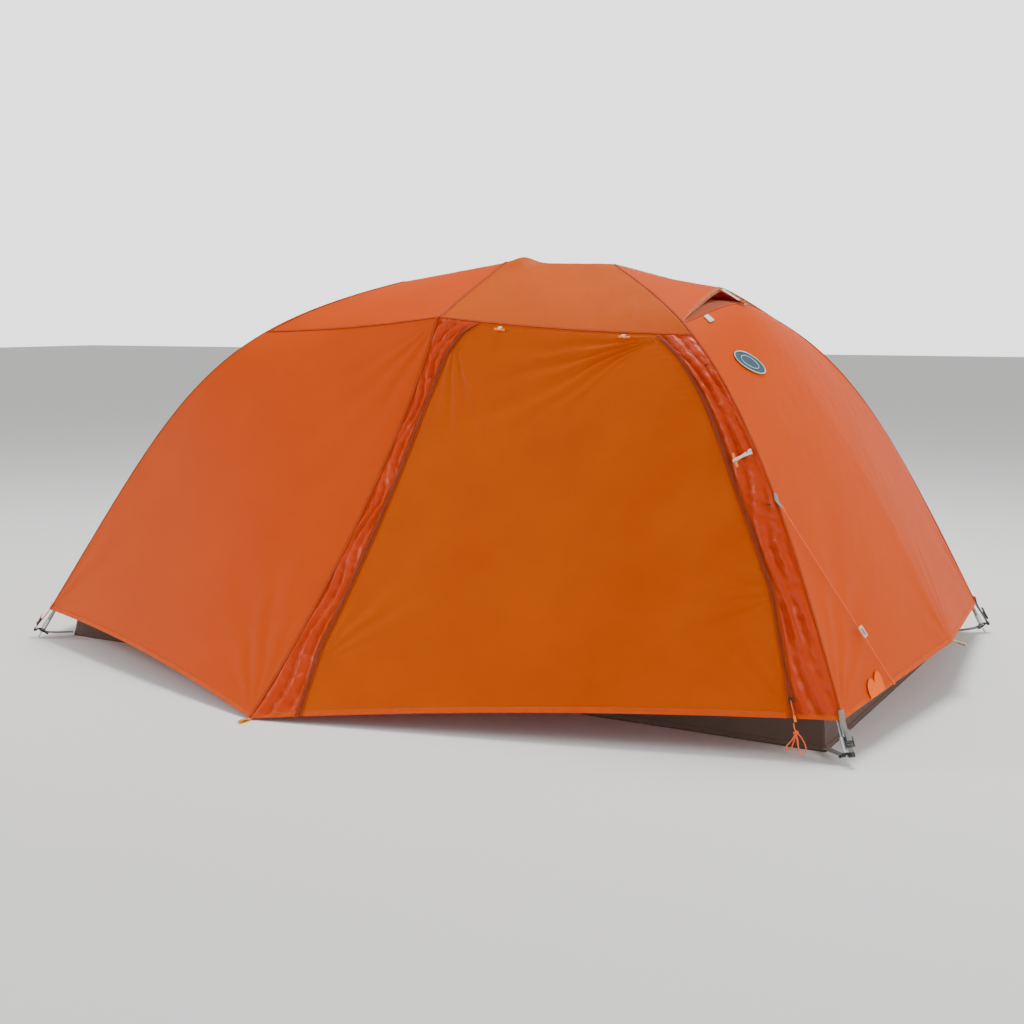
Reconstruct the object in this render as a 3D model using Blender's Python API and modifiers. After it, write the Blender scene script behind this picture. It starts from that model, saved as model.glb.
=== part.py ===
"""Two-person dome tent on hubbed poles: pole set, inner tent and rain fly with zipped doors.

Metres, +Z up. The origin is on the ground in the middle of the tent, +X points to the head end
and -Y to the front door. The tips of the four legs and the floor's underside stand on z = 0.
"""

import math

import bmesh
import bpy
import numpy as np
from mathutils import Matrix, Vector

# Floor and stance
FLOOR_LENGTH = 2.235
HEAD_WIDTH = 1.321
FOOT_WIDTH = 1.067
LEG_SPREAD = 0.070
TUB_HEIGHT = 0.120
TUB_LEAN = 0.012
TUB_WALL = 0.0025

# Pole set
POLE_RADIUS = 0.0045
HEAD_HUB = (0.325, 0.0, 1.045)
FOOT_HUB = (-0.330, 0.0, 1.005)
HEAD_SHOULDER = (0.745, 0.530, 0.905)
HEAD_KNEE = (0.856, 0.444, 0.828)
FOOT_SHOULDER = (-0.701, 0.450, 0.864)
FOOT_KNEE = (-0.860, 0.345, 0.700)
POLE_INSET = 0.017
HUB_REACH = 0.045
HUB_RADIUS = 0.014
HUB_HEIGHT = 0.014
SOCKET_RADIUS = 0.0062
TIP_LENGTH = 0.060
TIP_PROFILE = (
    (0.0, 0.0574), (0.0062, 0.0574), (0.0066, 0.030), (0.0048, 0.022),
    (0.0030, 0.020), (0.0028, 0.0024), (0.0022, -0.0012), (0.0, -0.0020),
)
BROW_HALF = 0.325
BROW_CAP = ((0.0, 0.022), (0.0048, 0.022), (0.0062, 0.018), (0.0062, 0.002), (0.0056, 0.0), (0.0, 0.0))
BROW_BELOW = 0.011
BROW_RISE = 0.013
BROW_CROWN = 0.050
BROW_SHIFT = 0.050

# Inner tent
INNER_BROW = np.array([0.0, 0.315, 0.862])
INNER_HEAD = 0.40
INNER_FOOT = 0.30
INNER_INSET = 0.040
INNER_DOOR_TOP = 0.10
INNER_DOOR_LOW = 0.975
INNER_ROWS = 10
CROWN_X = (-0.62, -0.33, 0.0, 0.325, 0.72)
CROWN_Z = (0.800, 0.952, 0.988, 0.985, 0.815)

# Fly
DOOR_TOP = 0.014
DOOR_ROWS = 12
ZIP_LEFT_V = (0.0, 0.05, 0.14, 0.30, 0.55, 0.85, 1.0)
ZIP_LEFT_U = (0.19, 0.115, 0.07, 0.055, 0.055, 0.06, 0.088)
ZIP_RIGHT_V = (0.0, 0.05, 0.14, 0.30, 0.55, 0.80, 1.0)
ZIP_RIGHT_U = (0.864, 0.885, 0.909, 0.922, 0.925, 0.94, 0.925)
FLY_WALL = 0.002
SEAM_GAP = 0.0020
RIDGE_TOP = 1.053
BROW_SEAM = (0.0, 0.360, 0.905)
HEAD_HEM = 0.087
FOOT_HEM = 0.080
HEM_OUTSET = 0.012
END_LOOP_X = 1.238
END_LOOP_Z = 0.122
STAKE = (-0.110, 1.020, 0.004)
HEAD_SEAM_END = 0.385
FOOT_SEAM_END = 0.290
HOOD_END = 0.335
HOOD_PEAK = (0.626, 0.0, 0.981)
HOOD_POINT = 1.25
HOOD_RISE = 1.7
SWELL_HEIGHT = 0.048
SWELL_AT = 0.37
SWELL_REACH = 0.13
BUMP_HEIGHT = 0.016
BUMP_X = 0.060
BUMP_REACH = 0.040

# Fittings
WEBBING = 0.020
WEBBING_THICK = 0.0016
RING_RADIUS = 0.0120
RING_BORE = 0.0072
RING_HEIGHT = 0.006
GUY_RADIUS = 0.00125
GUY_TOP_Z = 0.500
GUY_HEM_AT = 0.20
GUY_OUT = np.array([0.86, -0.40, 0.32])
TENSIONER_AT = 0.70
HANK_PLACE = (1.080, -0.752, 0.046)
HANK_SIZE = (0.052, 0.068, 0.018)
TOGGLES = {"a": 0.265, "b": 0.745}
TOGGLE_DOWN = 0.030
FLAP_TOGGLE = (0.945, 0.50)
BUCKLE_AT = 0.62
STRUT_LENGTH = 0.075
STRUT_WIDTH = 0.018
STRUT_THICK = 0.0016
TOGGLE_SIZE = (0.030, 0.006, 0.006)
TOGGLE_LIFT = 0.006
FLAP_TOGGLE_SIZE = (0.034, 0.007, 0.007)
FLAP_TOGGLE_LIFT = 0.0075
SLIDER_SIZE = (0.016, 0.009, 0.004)
SLIDER_LIFT = 0.0045
SLIDER_AT = 0.975
SLIDER_TOWARDS = 0.80
STAKE_PULL = (-0.12, 1.0, 0.0)
STAKE_LOOP_SIZE = (0.036, 0.012, 0.003)
STAKE_LOOP_OUT = 0.021
STAKE_LOOP_DROP = 0.0025
LOOP_EYE = (0.016, 0.006, 0.010)
LOOP_EYE_OUT = 0.006
END_LOOP_SIZE = (0.034, 0.012, 0.003)
END_LOOP_OUT = 0.019
END_LOOP_DROP = 0.002
END_EYE_OUT = 0.005
RING_RISE = 0.024
FLY_WEBBING = 0.014
BUCKLE_SIZE = (0.022, 0.020, 0.0045)
BUCKLE_LIFT = 0.0040
BUCKLE_GAP = (0.0045, 0.014, 0.020)
BUCKLE_GAP_AT = 0.005
GUY_CLEAR = 0.011
TENSIONER_SIZE = (0.028, 0.013, 0.0045)
TENSIONER_SLOT = (0.015, 0.005, 0.020)
TENSIONER_LIFT = 0.0048
CLEAR = 0.0004

SIDES = {"front": -1.0, "back": 1.0}
ENDS = ("head", "foot")


# ---------------------------------------------------------------- curves and surfaces


def bezier(points, t):
    """Cubic curve through its two end points, for a parameter or an array of them."""
    p = np.asarray(points, float)
    t = np.asarray(t, float)[..., None]
    s = 1.0 - t
    return s**3 * p[0] + 3 * s**2 * t * p[1] + 3 * s * t**2 * p[2] + t**3 * p[3]


def mixed(a, b, t):
    t = np.asarray(t, float)[..., None]
    return (1.0 - t) * np.asarray(a, float) + t * np.asarray(b, float)


def unit(v):
    v = np.asarray(v, float)
    return v / np.maximum(np.linalg.norm(v, axis=-1, keepdims=True), 1e-12)


def foot_point(end):
    width = HEAD_WIDTH if end == "head" else FOOT_WIDTH
    sign = 1.0 if end == "head" else -1.0
    return (sign * (FLOOR_LENGTH / 2 + LEG_SPREAD), width / 2 + LEG_SPREAD, 0.0)


def leg_line(end, t):
    """The line of the fly over a leg on the +Y side, from the hub (0) to the ground (1)."""
    if end == "head":
        return bezier([HEAD_HUB, HEAD_SHOULDER, HEAD_KNEE, foot_point(end)], t)
    return bezier([FOOT_HUB, FOOT_SHOULDER, FOOT_KNEE, foot_point(end)], t)


def pole_line(end, t):
    """The centre of a leg's pole, just inside the line of the fly."""
    p = leg_line(end, t)
    inward = unit(np.array([0.0, 0.0, 0.30]) - p)
    return p + inward * (POLE_INSET * (1.0 - np.asarray(t, float)[..., None] ** 6))


def parameter_at(end, z):
    """Where a leg's line comes down to a height."""
    t = np.linspace(0.0, 1.0, 2001)
    return float(np.interp(-z, -leg_line(end, t)[:, 2], t))


def fly_leg(end, t):
    """The fly's edge along a leg, standing a little further out towards the hem."""
    hem = HEAD_HEM if end == "head" else FOOT_HEM
    p = leg_line(end, t)
    k = (np.asarray(t, float)[..., None] / parameter_at(end, hem)) ** 4
    out = unit(p * np.array([1.0, 1.0, 0.0]))
    return p + out * HEM_OUTSET * k


def corner(end):
    hem = HEAD_HEM if end == "head" else FOOT_HEM
    return fly_leg(end, parameter_at(end, hem))


def flap_line(v):
    """The fold from the brow pole's tip down to the stake loop, on the +Y side."""
    top = np.array(BROW_SEAM)
    low = np.array(STAKE)
    a = top + 0.10 * (low - top)
    b = top + 0.55 * (low - top)
    a[2] = 0.72
    b[2] = 0.28
    return bezier([top, a, b, low], v)


def seam_line(end, u, sag=0.008):
    """The roof's lower seam, from the brow pole's tip to a leg."""
    last = fly_leg(end, HEAD_SEAM_END if end == "head" else FOOT_SEAM_END)
    p = mixed(BROW_SEAM, last, u)
    p[..., 2] -= sag * 4 * np.asarray(u) * (1 - np.asarray(u))
    return p


def hem_line(end, u, rise):
    """The hem from the stake loop to a corner, cut in a shallow arc."""
    p = mixed(STAKE, corner(end), u)
    p[..., 2] += rise * 4 * np.asarray(u) * (1 - np.asarray(u))
    return p


def coons(top, bottom, left, right, u, v):
    """A surface between four curves: top and bottom run with u, left and right with v."""
    uu = u[..., None]
    vv = v[..., None]
    across = (1 - vv) * top(u) + vv * bottom(u)
    down = (1 - uu) * left(v) + uu * right(v)
    zero = np.zeros(1)
    one = np.ones(1)
    corners = (
        (1 - uu) * (1 - vv) * top(zero)[0]
        + uu * (1 - vv) * top(one)[0]
        + (1 - uu) * vv * bottom(zero)[0]
        + uu * vv * bottom(one)[0]
    )
    return across + down - corners


def side_leg(end, v):
    """A fly leg from the roof's lower seam down to the hem."""
    first = HEAD_SEAM_END if end == "head" else FOOT_SEAM_END
    hem = HEAD_HEM if end == "head" else FOOT_HEM
    return fly_leg(end, first + (parameter_at(end, hem) - first) * np.asarray(v, float))


def side_surface(end, u, v):
    """The fly's side between the flap's fold (u = 0) and a leg (u = 1), on the +Y side."""
    rise = 0.015 if end == "head" else 0.022
    return coons(
        lambda a: seam_line(end, a),
        lambda a: hem_line(end, a, rise),
        flap_line,
        lambda a: side_leg(end, a),
        u,
        v,
    )


def zip_left(v):
    """Where the zip nearest the flap's fold lies across the door side."""
    return np.interp(v, ZIP_LEFT_V, ZIP_LEFT_U)


def zip_right(v):
    """Where the zip nearest the head leg lies across the door side."""
    return np.interp(v, ZIP_RIGHT_V, ZIP_RIGHT_U)


def brow_height(y):
    """The height of the fly over the brow pole."""
    return RIDGE_TOP - 0.36 * np.abs(y) - 0.143 * y**2


def brow_seam(s):
    """The fly over the brow pole, from the front tip (-1) across the ridge to the back tip (1)."""
    s = np.asarray(s, float)
    y = BROW_SEAM[1] * s
    return np.stack([0.0 * s, y, brow_height(y)], -1)


def hub_arch(end, s, reach):
    """Two legs joined over the hub, from the front leg (-1) to the back leg (1)."""
    s = np.asarray(s, float)
    p = fly_leg(end, np.abs(s) * reach)
    p[..., 1] *= np.sign(s)
    return p


def roof_surface(end, u, s):
    """The roof between the brow seam (u = 0) and the legs (u = 1)."""
    reach = HEAD_SEAM_END if end == "head" else FOOT_SEAM_END
    p = mixed(brow_seam(s), hub_arch(end, s, reach), u)
    p[..., 2] -= 0.008 * 4 * u * (1 - u) * np.abs(s)
    away = ((p[..., 0] - BUMP_X) ** 2 + p[..., 1] ** 2) / BUMP_REACH**2
    p[..., 2] += BUMP_HEIGHT * np.exp(-away)
    return p


def end_surface(end, w, t):
    """The fly's end between its front leg (w = 0) and its back leg (w = 1)."""
    hem = HEAD_HEM if end == "head" else FOOT_HEM
    sign = 1.0 if end == "head" else -1.0
    last = parameter_at(end, hem)
    back = fly_leg(end, t)
    front = back * np.array([1.0, -1.0, 1.0])
    p = (1 - w[..., None]) * front + w[..., None] * back
    k = (t / last) ** 3
    point = 1 - np.abs(2 * w - 1)
    shape = (1 - k) * np.sin(math.pi * w) + k * point
    out = abs(END_LOOP_X) - abs(float(corner(end)[0]))
    p[..., 0] += sign * out * (t / last) ** 2 * shape
    p[..., 2] += (END_LOOP_Z - hem) * k * point
    if end == "head":
        swell = np.sin(math.pi * np.clip(w, 0, 1)) ** 1.2 * np.exp(-(((t - SWELL_AT) / SWELL_REACH) ** 2))
        p[..., 2] += SWELL_HEIGHT * swell
    return p


def hood_surface(w, r):
    """The vent's hood from the hub (r = 0) to its raised free edge (r = 1)."""
    t = r * HOOD_END
    back = fly_leg("head", t)
    front = back * np.array([1.0, -1.0, 1.0])
    p = (1 - w[..., None]) * front + w[..., None] * back
    flat = 0.5 * (fly_leg("head", HOOD_END) + fly_leg("head", HOOD_END) * np.array([1.0, -1.0, 1.0]))
    lift = np.array(HOOD_PEAK) - flat
    bow = ((1 - np.abs(2 * w - 1) ** HOOD_POINT) * r**HOOD_RISE)[..., None]
    return p + bow * lift


def inner_leg(end, t):
    """The inner tent's corner seam, inside a leg's pole."""
    p = leg_line(end, t)
    inward = unit(np.array([0.0, 0.0, 0.30]) - p)
    return p + inward * INNER_INSET


def tub_corner(end, z):
    """The bathtub floor's corner at a height, on the +Y side."""
    sign = 1.0 if end == "head" else -1.0
    width = HEAD_WIDTH if end == "head" else FOOT_WIDTH
    lean = TUB_LEAN * z / TUB_HEIGHT
    return np.array([sign * (FLOOR_LENGTH / 2 - lean), width / 2 - lean, z])


def inner_edge(end, first, v):
    """The inner tent's corner seam from a leg parameter down to the floor's rim."""
    v = np.asarray(v, float)
    last = parameter_at(end, TUB_HEIGHT + 0.10)
    t = first + (last - first) * np.minimum(v / 0.85, 1.0)
    rim = tub_corner(end, TUB_HEIGHT + 0.004) * np.array([0.998, 0.998, 1.0])
    k = np.clip((v - 0.85) / 0.15, 0.0, 1.0)[..., None]
    return (1 - k) * inner_leg(end, t) + k * rim


def inner_top(u):
    """The upper edge of the inner tent's side, from the foot leg over the brow to the head leg."""
    u = np.asarray(u, float)
    a = inner_leg("foot", np.array([INNER_FOOT]))[0]
    b = inner_leg("head", np.array([INNER_HEAD]))[0]
    mid = 0.46
    low = np.clip(u / mid, 0.0, 1.0)[..., None]
    high = np.clip((u - mid) / (1 - mid), 0.0, 1.0)[..., None]
    return np.where(u[..., None] < mid, (1 - low) * a + low * INNER_BROW, (1 - high) * INNER_BROW + high * b)


def inner_side(u, v):
    """The inner tent's long side, from the foot leg (u = 0) to the head leg (u = 1), on the +Y side."""
    foot_rim = inner_edge("foot", INNER_FOOT, np.ones(1))[0]
    head_rim = inner_edge("head", INNER_HEAD, np.ones(1))[0]
    return coons(
        inner_top,
        lambda a: mixed(foot_rim, head_rim, a),
        lambda a: inner_edge("foot", INNER_FOOT, a),
        lambda a: inner_edge("head", INNER_HEAD, a),
        u,
        v,
    )


def inner_end(end, w, v):
    """The inner tent's end, between its two corner seams."""
    first = INNER_HEAD if end == "head" else INNER_FOOT
    back = inner_edge(end, first, v)
    front = back * np.array([1.0, -1.0, 1.0])
    return (1 - w[..., None]) * front + w[..., None] * back


def inner_roof(u, s):
    """The inner tent's roof, hung under the ridge and the brow pole."""
    edge = inner_top(u)
    y = edge[..., 1] * s
    crown = np.interp(edge[..., 0], CROWN_X, CROWN_Z)
    rise = crown - edge[..., 2]
    z = edge[..., 2] + rise * (1 - np.abs(s) ** 1.15)
    return np.stack([edge[..., 0], y, z], -1)


# ---------------------------------------------------------------- object builders


def clear_scene():
    for obj in list(bpy.data.objects):
        bpy.data.objects.remove(obj, do_unlink=True)


def new_collection(name):
    made = bpy.data.collections.new(name)
    bpy.context.scene.collection.children.link(made)
    return made


def new_material(name, colour, roughness, metallic=0.0):
    made = bpy.data.materials.new(name)
    made.use_nodes = True
    shader = made.node_tree.nodes["Principled BSDF"]
    shader.inputs["Base Color"].default_value = (*colour, 1.0)
    shader.inputs["Roughness"].default_value = roughness
    shader.inputs["Metallic"].default_value = metallic
    return made


def add_object(name, data, material, parent=None, collection=None):
    obj = bpy.data.objects.new(name, data)
    (collection or TENT).objects.link(obj)
    data.materials.clear()
    data.materials.append(material)
    adopt(obj, parent)
    return obj


def adopt(obj, parent):
    """Parents an object to an empty, keeping its place in the world."""
    if parent:
        obj.parent = parent
        obj.matrix_parent_inverse = parent.matrix_world.inverted()


def add_empty(name, place, parent=None):
    obj = bpy.data.objects.new(name, None)
    TENT.objects.link(obj)
    obj.location = place
    bpy.context.view_layer.update()
    adopt(obj, parent)
    bpy.context.view_layer.update()
    return obj


def pulled_in(grid, gap):
    """Moves a grid's border inwards along its own rows and columns, to leave a seam gap."""
    g = grid.copy()
    g[:, 0] += gap * unit(grid[:, 1] - grid[:, 0])
    g[:, -1] += gap * unit(grid[:, -2] - grid[:, -1])
    g[0] += gap * unit(grid[1] - grid[0])
    g[-1] += gap * unit(grid[-2] - grid[-1])
    return g


def grid_mesh(name, grid, skip=None):
    """A quad mesh over a grid of points, with its faces away from the tent's middle."""
    rows, cols = grid.shape[:2]
    bm = bmesh.new()
    verts = [[bm.verts.new(grid[r, c]) for c in range(cols)] for r in range(rows)]
    for r in range(rows - 1):
        for c in range(cols - 1):
            if skip and skip(r, c):
                continue
            bm.faces.new([verts[r][c], verts[r][c + 1], verts[r + 1][c + 1], verts[r + 1][c]])
    loose = [v for v in bm.verts if not v.link_faces]
    bmesh.ops.delete(bm, geom=loose, context="VERTS")
    bm.normal_update()
    middle = Vector((0, 0, 0.3))
    outward = sum(f.normal.dot(f.calc_center_median() - middle) * f.calc_area() for f in bm.faces)
    if outward < 0:
        bmesh.ops.reverse_faces(bm, faces=bm.faces[:])
    mesh = bpy.data.meshes.new(name)
    bm.to_mesh(mesh)
    bm.free()
    mesh.shade_smooth()
    return mesh


def add_sheet(name, grid, material, parent=None, thick=FLY_WALL, gap=SEAM_GAP, skip=None):
    """A sheet of cloth over a grid, thickened towards the inside of the tent."""
    obj = add_object(name, grid_mesh(name, pulled_in(grid, gap), skip), material, parent)
    shell = obj.modifiers.new("cloth", "SOLIDIFY")
    shell.thickness = thick
    shell.offset = -1.0
    return obj


def mesh_grid(rows, cols, low=0.0, high=1.0):
    """Row and column parameters of a grid, rows first."""
    v, u = np.meshgrid(np.linspace(low, high, rows), np.linspace(0.0, 1.0, cols), indexing="ij")
    return u, v


def to_side(points, side):
    return points * np.array([1.0, SIDES[side], 1.0])


def add_tube(name, points, radius, material, parent=None, sides=2):
    """A round rod or cord along a row of points."""
    data = bpy.data.curves.new(name, "CURVE")
    data.dimensions = "3D"
    data.bevel_depth = radius
    data.bevel_resolution = sides
    data.use_fill_caps = True
    spline = data.splines.new("POLY")
    spline.points.add(len(points) - 1)
    for point, place in zip(spline.points, points):
        point.co = (*place, 1.0)
    return add_object(name, data, material, parent)


def turned(name, profile, material, place, direction, parent=None, steps=16):
    """A turned piece: an outline of (radius, height) from top to bottom, stood along a direction."""
    obj = add_object(name, outline_mesh(name, profile, closed=False), material)
    turn(obj, steps)
    obj.location = place
    obj.rotation_euler = Vector(direction).to_track_quat("Z", "Y").to_euler()
    bpy.context.view_layer.update()
    adopt(obj, parent)
    return obj


def frame_matrix(place, x_axis, z_axis):
    """A frame with its X along one direction and its Z close to another."""
    x = Vector(x_axis).normalized()
    y = Vector(z_axis).cross(x).normalized()
    z = x.cross(y).normalized()
    m = Matrix((x, y, z)).transposed().to_4x4()
    m.translation = Vector(place)
    return m


def add_block(name, size, matrix, material, parent=None, bevel=0.0006, slots=()):
    """A small moulded block or a flat strap, with optional slots cut through it."""
    bm = bmesh.new()
    bmesh.ops.create_cube(bm, size=1.0)
    bmesh.ops.scale(bm, vec=size, verts=bm.verts)
    mesh = bpy.data.meshes.new(name)
    bm.to_mesh(mesh)
    bm.free()
    obj = add_object(name, mesh, material)
    obj.matrix_world = matrix
    for i, (centre, extent) in enumerate(slots):
        bm = bmesh.new()
        bmesh.ops.create_cube(bm, size=1.0)
        bmesh.ops.scale(bm, vec=extent, verts=bm.verts)
        bmesh.ops.translate(bm, vec=centre, verts=bm.verts)
        hole = bpy.data.meshes.new(f"{name}_slot_{i}")
        bm.to_mesh(hole)
        bm.free()
        tool = bpy.data.objects.new(f"{name}_slot_{i}", hole)
        CUTTERS.objects.link(tool)
        tool.matrix_world = matrix
        tool.hide_render = True
        tool.display_type = "WIRE"
        cut = obj.modifiers.new(f"slot_{i}", "BOOLEAN")
        cut.operation = "DIFFERENCE"
        cut.object = tool
    if bevel:
        edge = obj.modifiers.new("edges", "BEVEL")
        edge.width = bevel
        edge.segments = 1
        edge.limit_method = "ANGLE"
    bpy.context.view_layer.update()
    adopt(obj, parent)
    return obj


# ---------------------------------------------------------------- pole set


def arc_start(line, reach):
    """The parameter at which a curve is a distance away from its first point."""
    t = np.linspace(0.0, 0.3, 601)
    p = line(t)
    return float(np.interp(reach, np.linalg.norm(p - p[0], axis=1), t))


def hub_centre(end):
    return pole_line(end, np.zeros(1))[0]


def ridge_direction(end):
    a = hub_centre("foot")
    b = hub_centre("head")
    d = unit(b - a)
    return -d if end == "head" else d


def add_hub(end, material):
    """The moulded hub that joins the ridge and two legs: a drum with three sockets, as one solid."""
    centre = hub_centre(end)
    bm = bmesh.new()
    bmesh.ops.create_cone(
        bm, cap_ends=True, segments=20, radius1=HUB_RADIUS, radius2=HUB_RADIUS, depth=HUB_HEIGHT
    )
    mesh = bpy.data.meshes.new(f"{end}_hub")
    bm.to_mesh(mesh)
    bm.free()
    obj = add_object(f"{end}_hub", mesh, material)
    obj.location = centre
    start = arc_start(lambda t: pole_line(end, t), HUB_REACH)
    leg = pole_line(end, np.array([start]))[0]
    targets = [leg, leg * np.array([1.0, -1.0, 1.0]), centre + ridge_direction(end) * HUB_REACH]
    for i, target in enumerate(targets):
        run = Vector(target - centre)
        bm = bmesh.new()
        bmesh.ops.create_cone(
            bm, cap_ends=True, segments=12, radius1=SOCKET_RADIUS, radius2=SOCKET_RADIUS, depth=run.length
        )
        socket = bpy.data.meshes.new(f"{end}_hub_socket_{i}")
        bm.to_mesh(socket)
        bm.free()
        tool = bpy.data.objects.new(f"{end}_hub_socket_{i}", socket)
        CUTTERS.objects.link(tool)
        tool.location = Vector(centre) + run * 0.5
        tool.rotation_euler = run.to_track_quat("Z", "Y").to_euler()
        tool.hide_render = True
        tool.display_type = "WIRE"
        join = obj.modifiers.new(f"socket_{i}", "BOOLEAN")
        join.operation = "UNION"
        join.object = tool
    return obj


def leg_end(end):
    """The last stretch of a leg: the tip's foot on the ground and the direction up the pole."""
    p = pole_line(end, np.array([0.955, 1.0]))
    return p[1], unit(p[0] - p[1])


def build_poles(metal, dark, steel):
    for end in ENDS:
        add_hub(end, dark)
        start = arc_start(lambda t: pole_line(end, t), HUB_REACH + CLEAR * 2)
        ground, up = leg_end(end)
        last = arc_end(end, TIP_LENGTH + CLEAR * 2)
        route = pole_line(end, np.linspace(start, last, 22))
        for side in SIDES:
            add_tube(f"leg_pole_{end}_{side}", to_side(route, side), POLE_RADIUS, metal)
            base = to_side(ground + up * 0.0026, side)
            turned(f"pole_tip_{end}_{side}", TIP_PROFILE, steel, base, to_side(up, side))
    a = hub_centre("foot") + ridge_direction("foot") * (HUB_REACH + CLEAR)
    b = hub_centre("head") + ridge_direction("head") * (HUB_REACH + CLEAR)
    add_tube("ridge_pole", mixed(a, b, np.linspace(0, 1, 6)), POLE_RADIUS, metal)
    y = np.linspace(-BROW_HALF, BROW_HALF, 31)
    add_tube("brow_pole", brow_line(y), POLE_RADIUS * 0.95, metal)
    ridge_z = float(np.interp(BROW_SHIFT, [a[0], b[0]], [a[2], b[2]]))
    gap_low = ridge_z + POLE_RADIUS + CLEAR * 2
    gap_high = float(brow_line(np.array([0.008]))[0, 2]) - POLE_RADIUS - CLEAR * 2
    clip = frame_matrix((BROW_SHIFT, 0, (gap_low + gap_high) / 2), b - a, (0, 0, 1))
    add_block("brow_clip", (0.020, 0.016, gap_high - gap_low), clip, dark, bevel=0.0004)
    for side, sign in SIDES.items():
        ends = brow_line(np.array([BROW_HALF - 0.01, BROW_HALF]) * sign)
        out = unit(ends[1] - ends[0])
        turned(f"brow_tip_{side}", BROW_CAP, dark, ends[1] + out * CLEAR, out, steps=12)


def arc_end(end, reach):
    """The parameter at which a leg's pole is a distance short of its foot."""
    t = np.linspace(0.8, 1.0, 801)
    p = pole_line(end, t)
    return float(np.interp(-reach, -np.linalg.norm(p - p[-1], axis=1), t))


def brow_line(y):
    """The brow pole, bent at its middle where it crosses over the ridge."""
    z = brow_height(y) - BROW_BELOW + BROW_RISE * np.exp(-((y / BROW_CROWN) ** 2))
    x = BROW_SHIFT * (1.0 - 0.8 * np.abs(y) / BROW_HALF)
    return np.stack([x, y, z], -1)


# ---------------------------------------------------------------- inner tent


def build_tub(cloth):
    """The bathtub floor: a flat trapezium with its walls turned up."""
    bm = bmesh.new()
    order = [("foot", -1), ("head", -1), ("head", 1), ("foot", 1)]
    low = [bm.verts.new(tub_corner(e, 0.0) * np.array([1, s, 1])) for e, s in order]
    high = [bm.verts.new(tub_corner(e, TUB_HEIGHT) * np.array([1, s, 1])) for e, s in order]
    bm.faces.new(low[::-1])
    for i in range(4):
        j = (i + 1) % 4
        bm.faces.new([low[i], low[j], high[j], high[i]])
    bmesh.ops.recalc_face_normals(bm, faces=bm.faces[:])
    floor = min(bm.faces, key=lambda f: f.calc_center_median().z)
    if floor.normal.z > 0:
        bmesh.ops.reverse_faces(bm, faces=bm.faces[:])
    mesh = bpy.data.meshes.new("tub_floor")
    bm.to_mesh(mesh)
    bm.free()
    obj = add_object("tub_floor", mesh, cloth)
    shell = obj.modifiers.new("cloth", "SOLIDIFY")
    shell.thickness = TUB_WALL
    shell.offset = -1.0
    shell.use_even_offset = True


def inner_grid(side):
    """The inner side's grid, with columns that follow the door's two edges."""
    rows = np.concatenate([[0.0], np.linspace(INNER_DOOR_TOP, INNER_DOOR_LOW, INNER_ROWS), [1.0]])
    u = np.zeros((len(rows), 19))
    for r, v in enumerate(rows):
        k = np.clip((v - INNER_DOOR_TOP) / 0.35, 0.0, 1.0)
        left = 0.56 - 0.08 * math.sin(k * math.pi / 2)
        right = 0.86 + 0.07 * math.sin(k * math.pi / 2)
        knots = [0.0, left, right, 1.0]
        u[r] = np.interp(np.arange(19), [0, 8, 15, 18], knots)
    v = np.repeat(rows[:, None], 19, axis=1)
    return to_side(inner_side(u, v), side)


def build_inner(mesh_cloth, trim, doors):
    def doorway(r, c):
        return 1 <= r <= INNER_ROWS - 1 and 8 <= c < 15

    for side in SIDES:
        grid = inner_grid(side)
        add_sheet(f"inner_wall_{side}", grid, mesh_cloth, skip=doorway)
        add_sheet(f"inner_door_{side}", grid[1 : INNER_ROWS + 1, 8:16], mesh_cloth, doors[side], gap=0.003)
    for end in ENDS:
        u, v = mesh_grid(9, 7)
        add_sheet(f"inner_end_{end}", inner_end(end, u, v), mesh_cloth, gap=0.004)
    v, u = np.meshgrid(np.linspace(0, 1, 13), np.linspace(-1, 1, 9), indexing="ij")
    roof = inner_roof(v, u)
    add_sheet("inner_roof", roof, trim, gap=0.004)


# ---------------------------------------------------------------- fly


def door_side_grid(side):
    """The fly's door side, with columns that follow the two zips."""
    rows = np.concatenate([[0.0], DOOR_TOP + (1 - DOOR_TOP) * np.linspace(0, 1, DOOR_ROWS) ** 1.25])
    u = np.zeros((len(rows), 17))
    for r, v in enumerate(rows):
        knots = [0.0, float(zip_left(v)), float(zip_right(v)), 1.0]
        u[r] = np.interp(np.arange(17), [0, 3, 13, 16], knots)
    v = np.repeat(rows[:, None], 17, axis=1)
    return to_side(side_surface("head", u, v), side)


def build_fly(cloth, fly, doors):
    for end in ENDS:
        u, v = mesh_grid(9, 15)
        add_sheet(f"fly_roof_{end}", roof_surface(end, v, 2 * u - 1), cloth, fly)
        hem = HEAD_HEM if end == "head" else FOOT_HEM
        first = HOOD_END + 0.012 if end == "head" else 0.012
        u, v = mesh_grid(11, 13, first, parameter_at(end, hem))
        add_sheet(f"fly_end_{end}", end_surface(end, u, v), cloth, fly)
    for side in SIDES:
        u, v = mesh_grid(11, 11)
        add_sheet(f"fly_wall_{side}", to_side(side_surface("foot", u, v), side), cloth, fly)
        grid = door_side_grid(side)
        add_sheet(f"fly_flap_{side}", grid, cloth, fly, skip=lambda r, c: r >= 1 and 3 <= c < 13)
        add_sheet(f"door_{side}", grid[1:, 3:14], cloth, doors[side], gap=0.0035)
    u, v = mesh_grid(7, 13, 0.04, 1.0)
    add_sheet("vent_hood", hood_surface(u, v), cloth, fly)


def surface_frame(side, u, v):
    """A point of the fly's door side, its outward normal and the direction down the panel."""
    e = 0.002
    uu = np.array([u, u + e, u])
    vv = np.array([v, v, v + e])
    p = to_side(side_surface("head", uu, vv), side)
    along = unit(p[1] - p[0])
    down = unit(p[2] - p[0])
    normal = unit(np.cross(along, down))
    if normal[1] * SIDES[side] < 0:
        normal = -normal
    return p[0], normal, down, along


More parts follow.
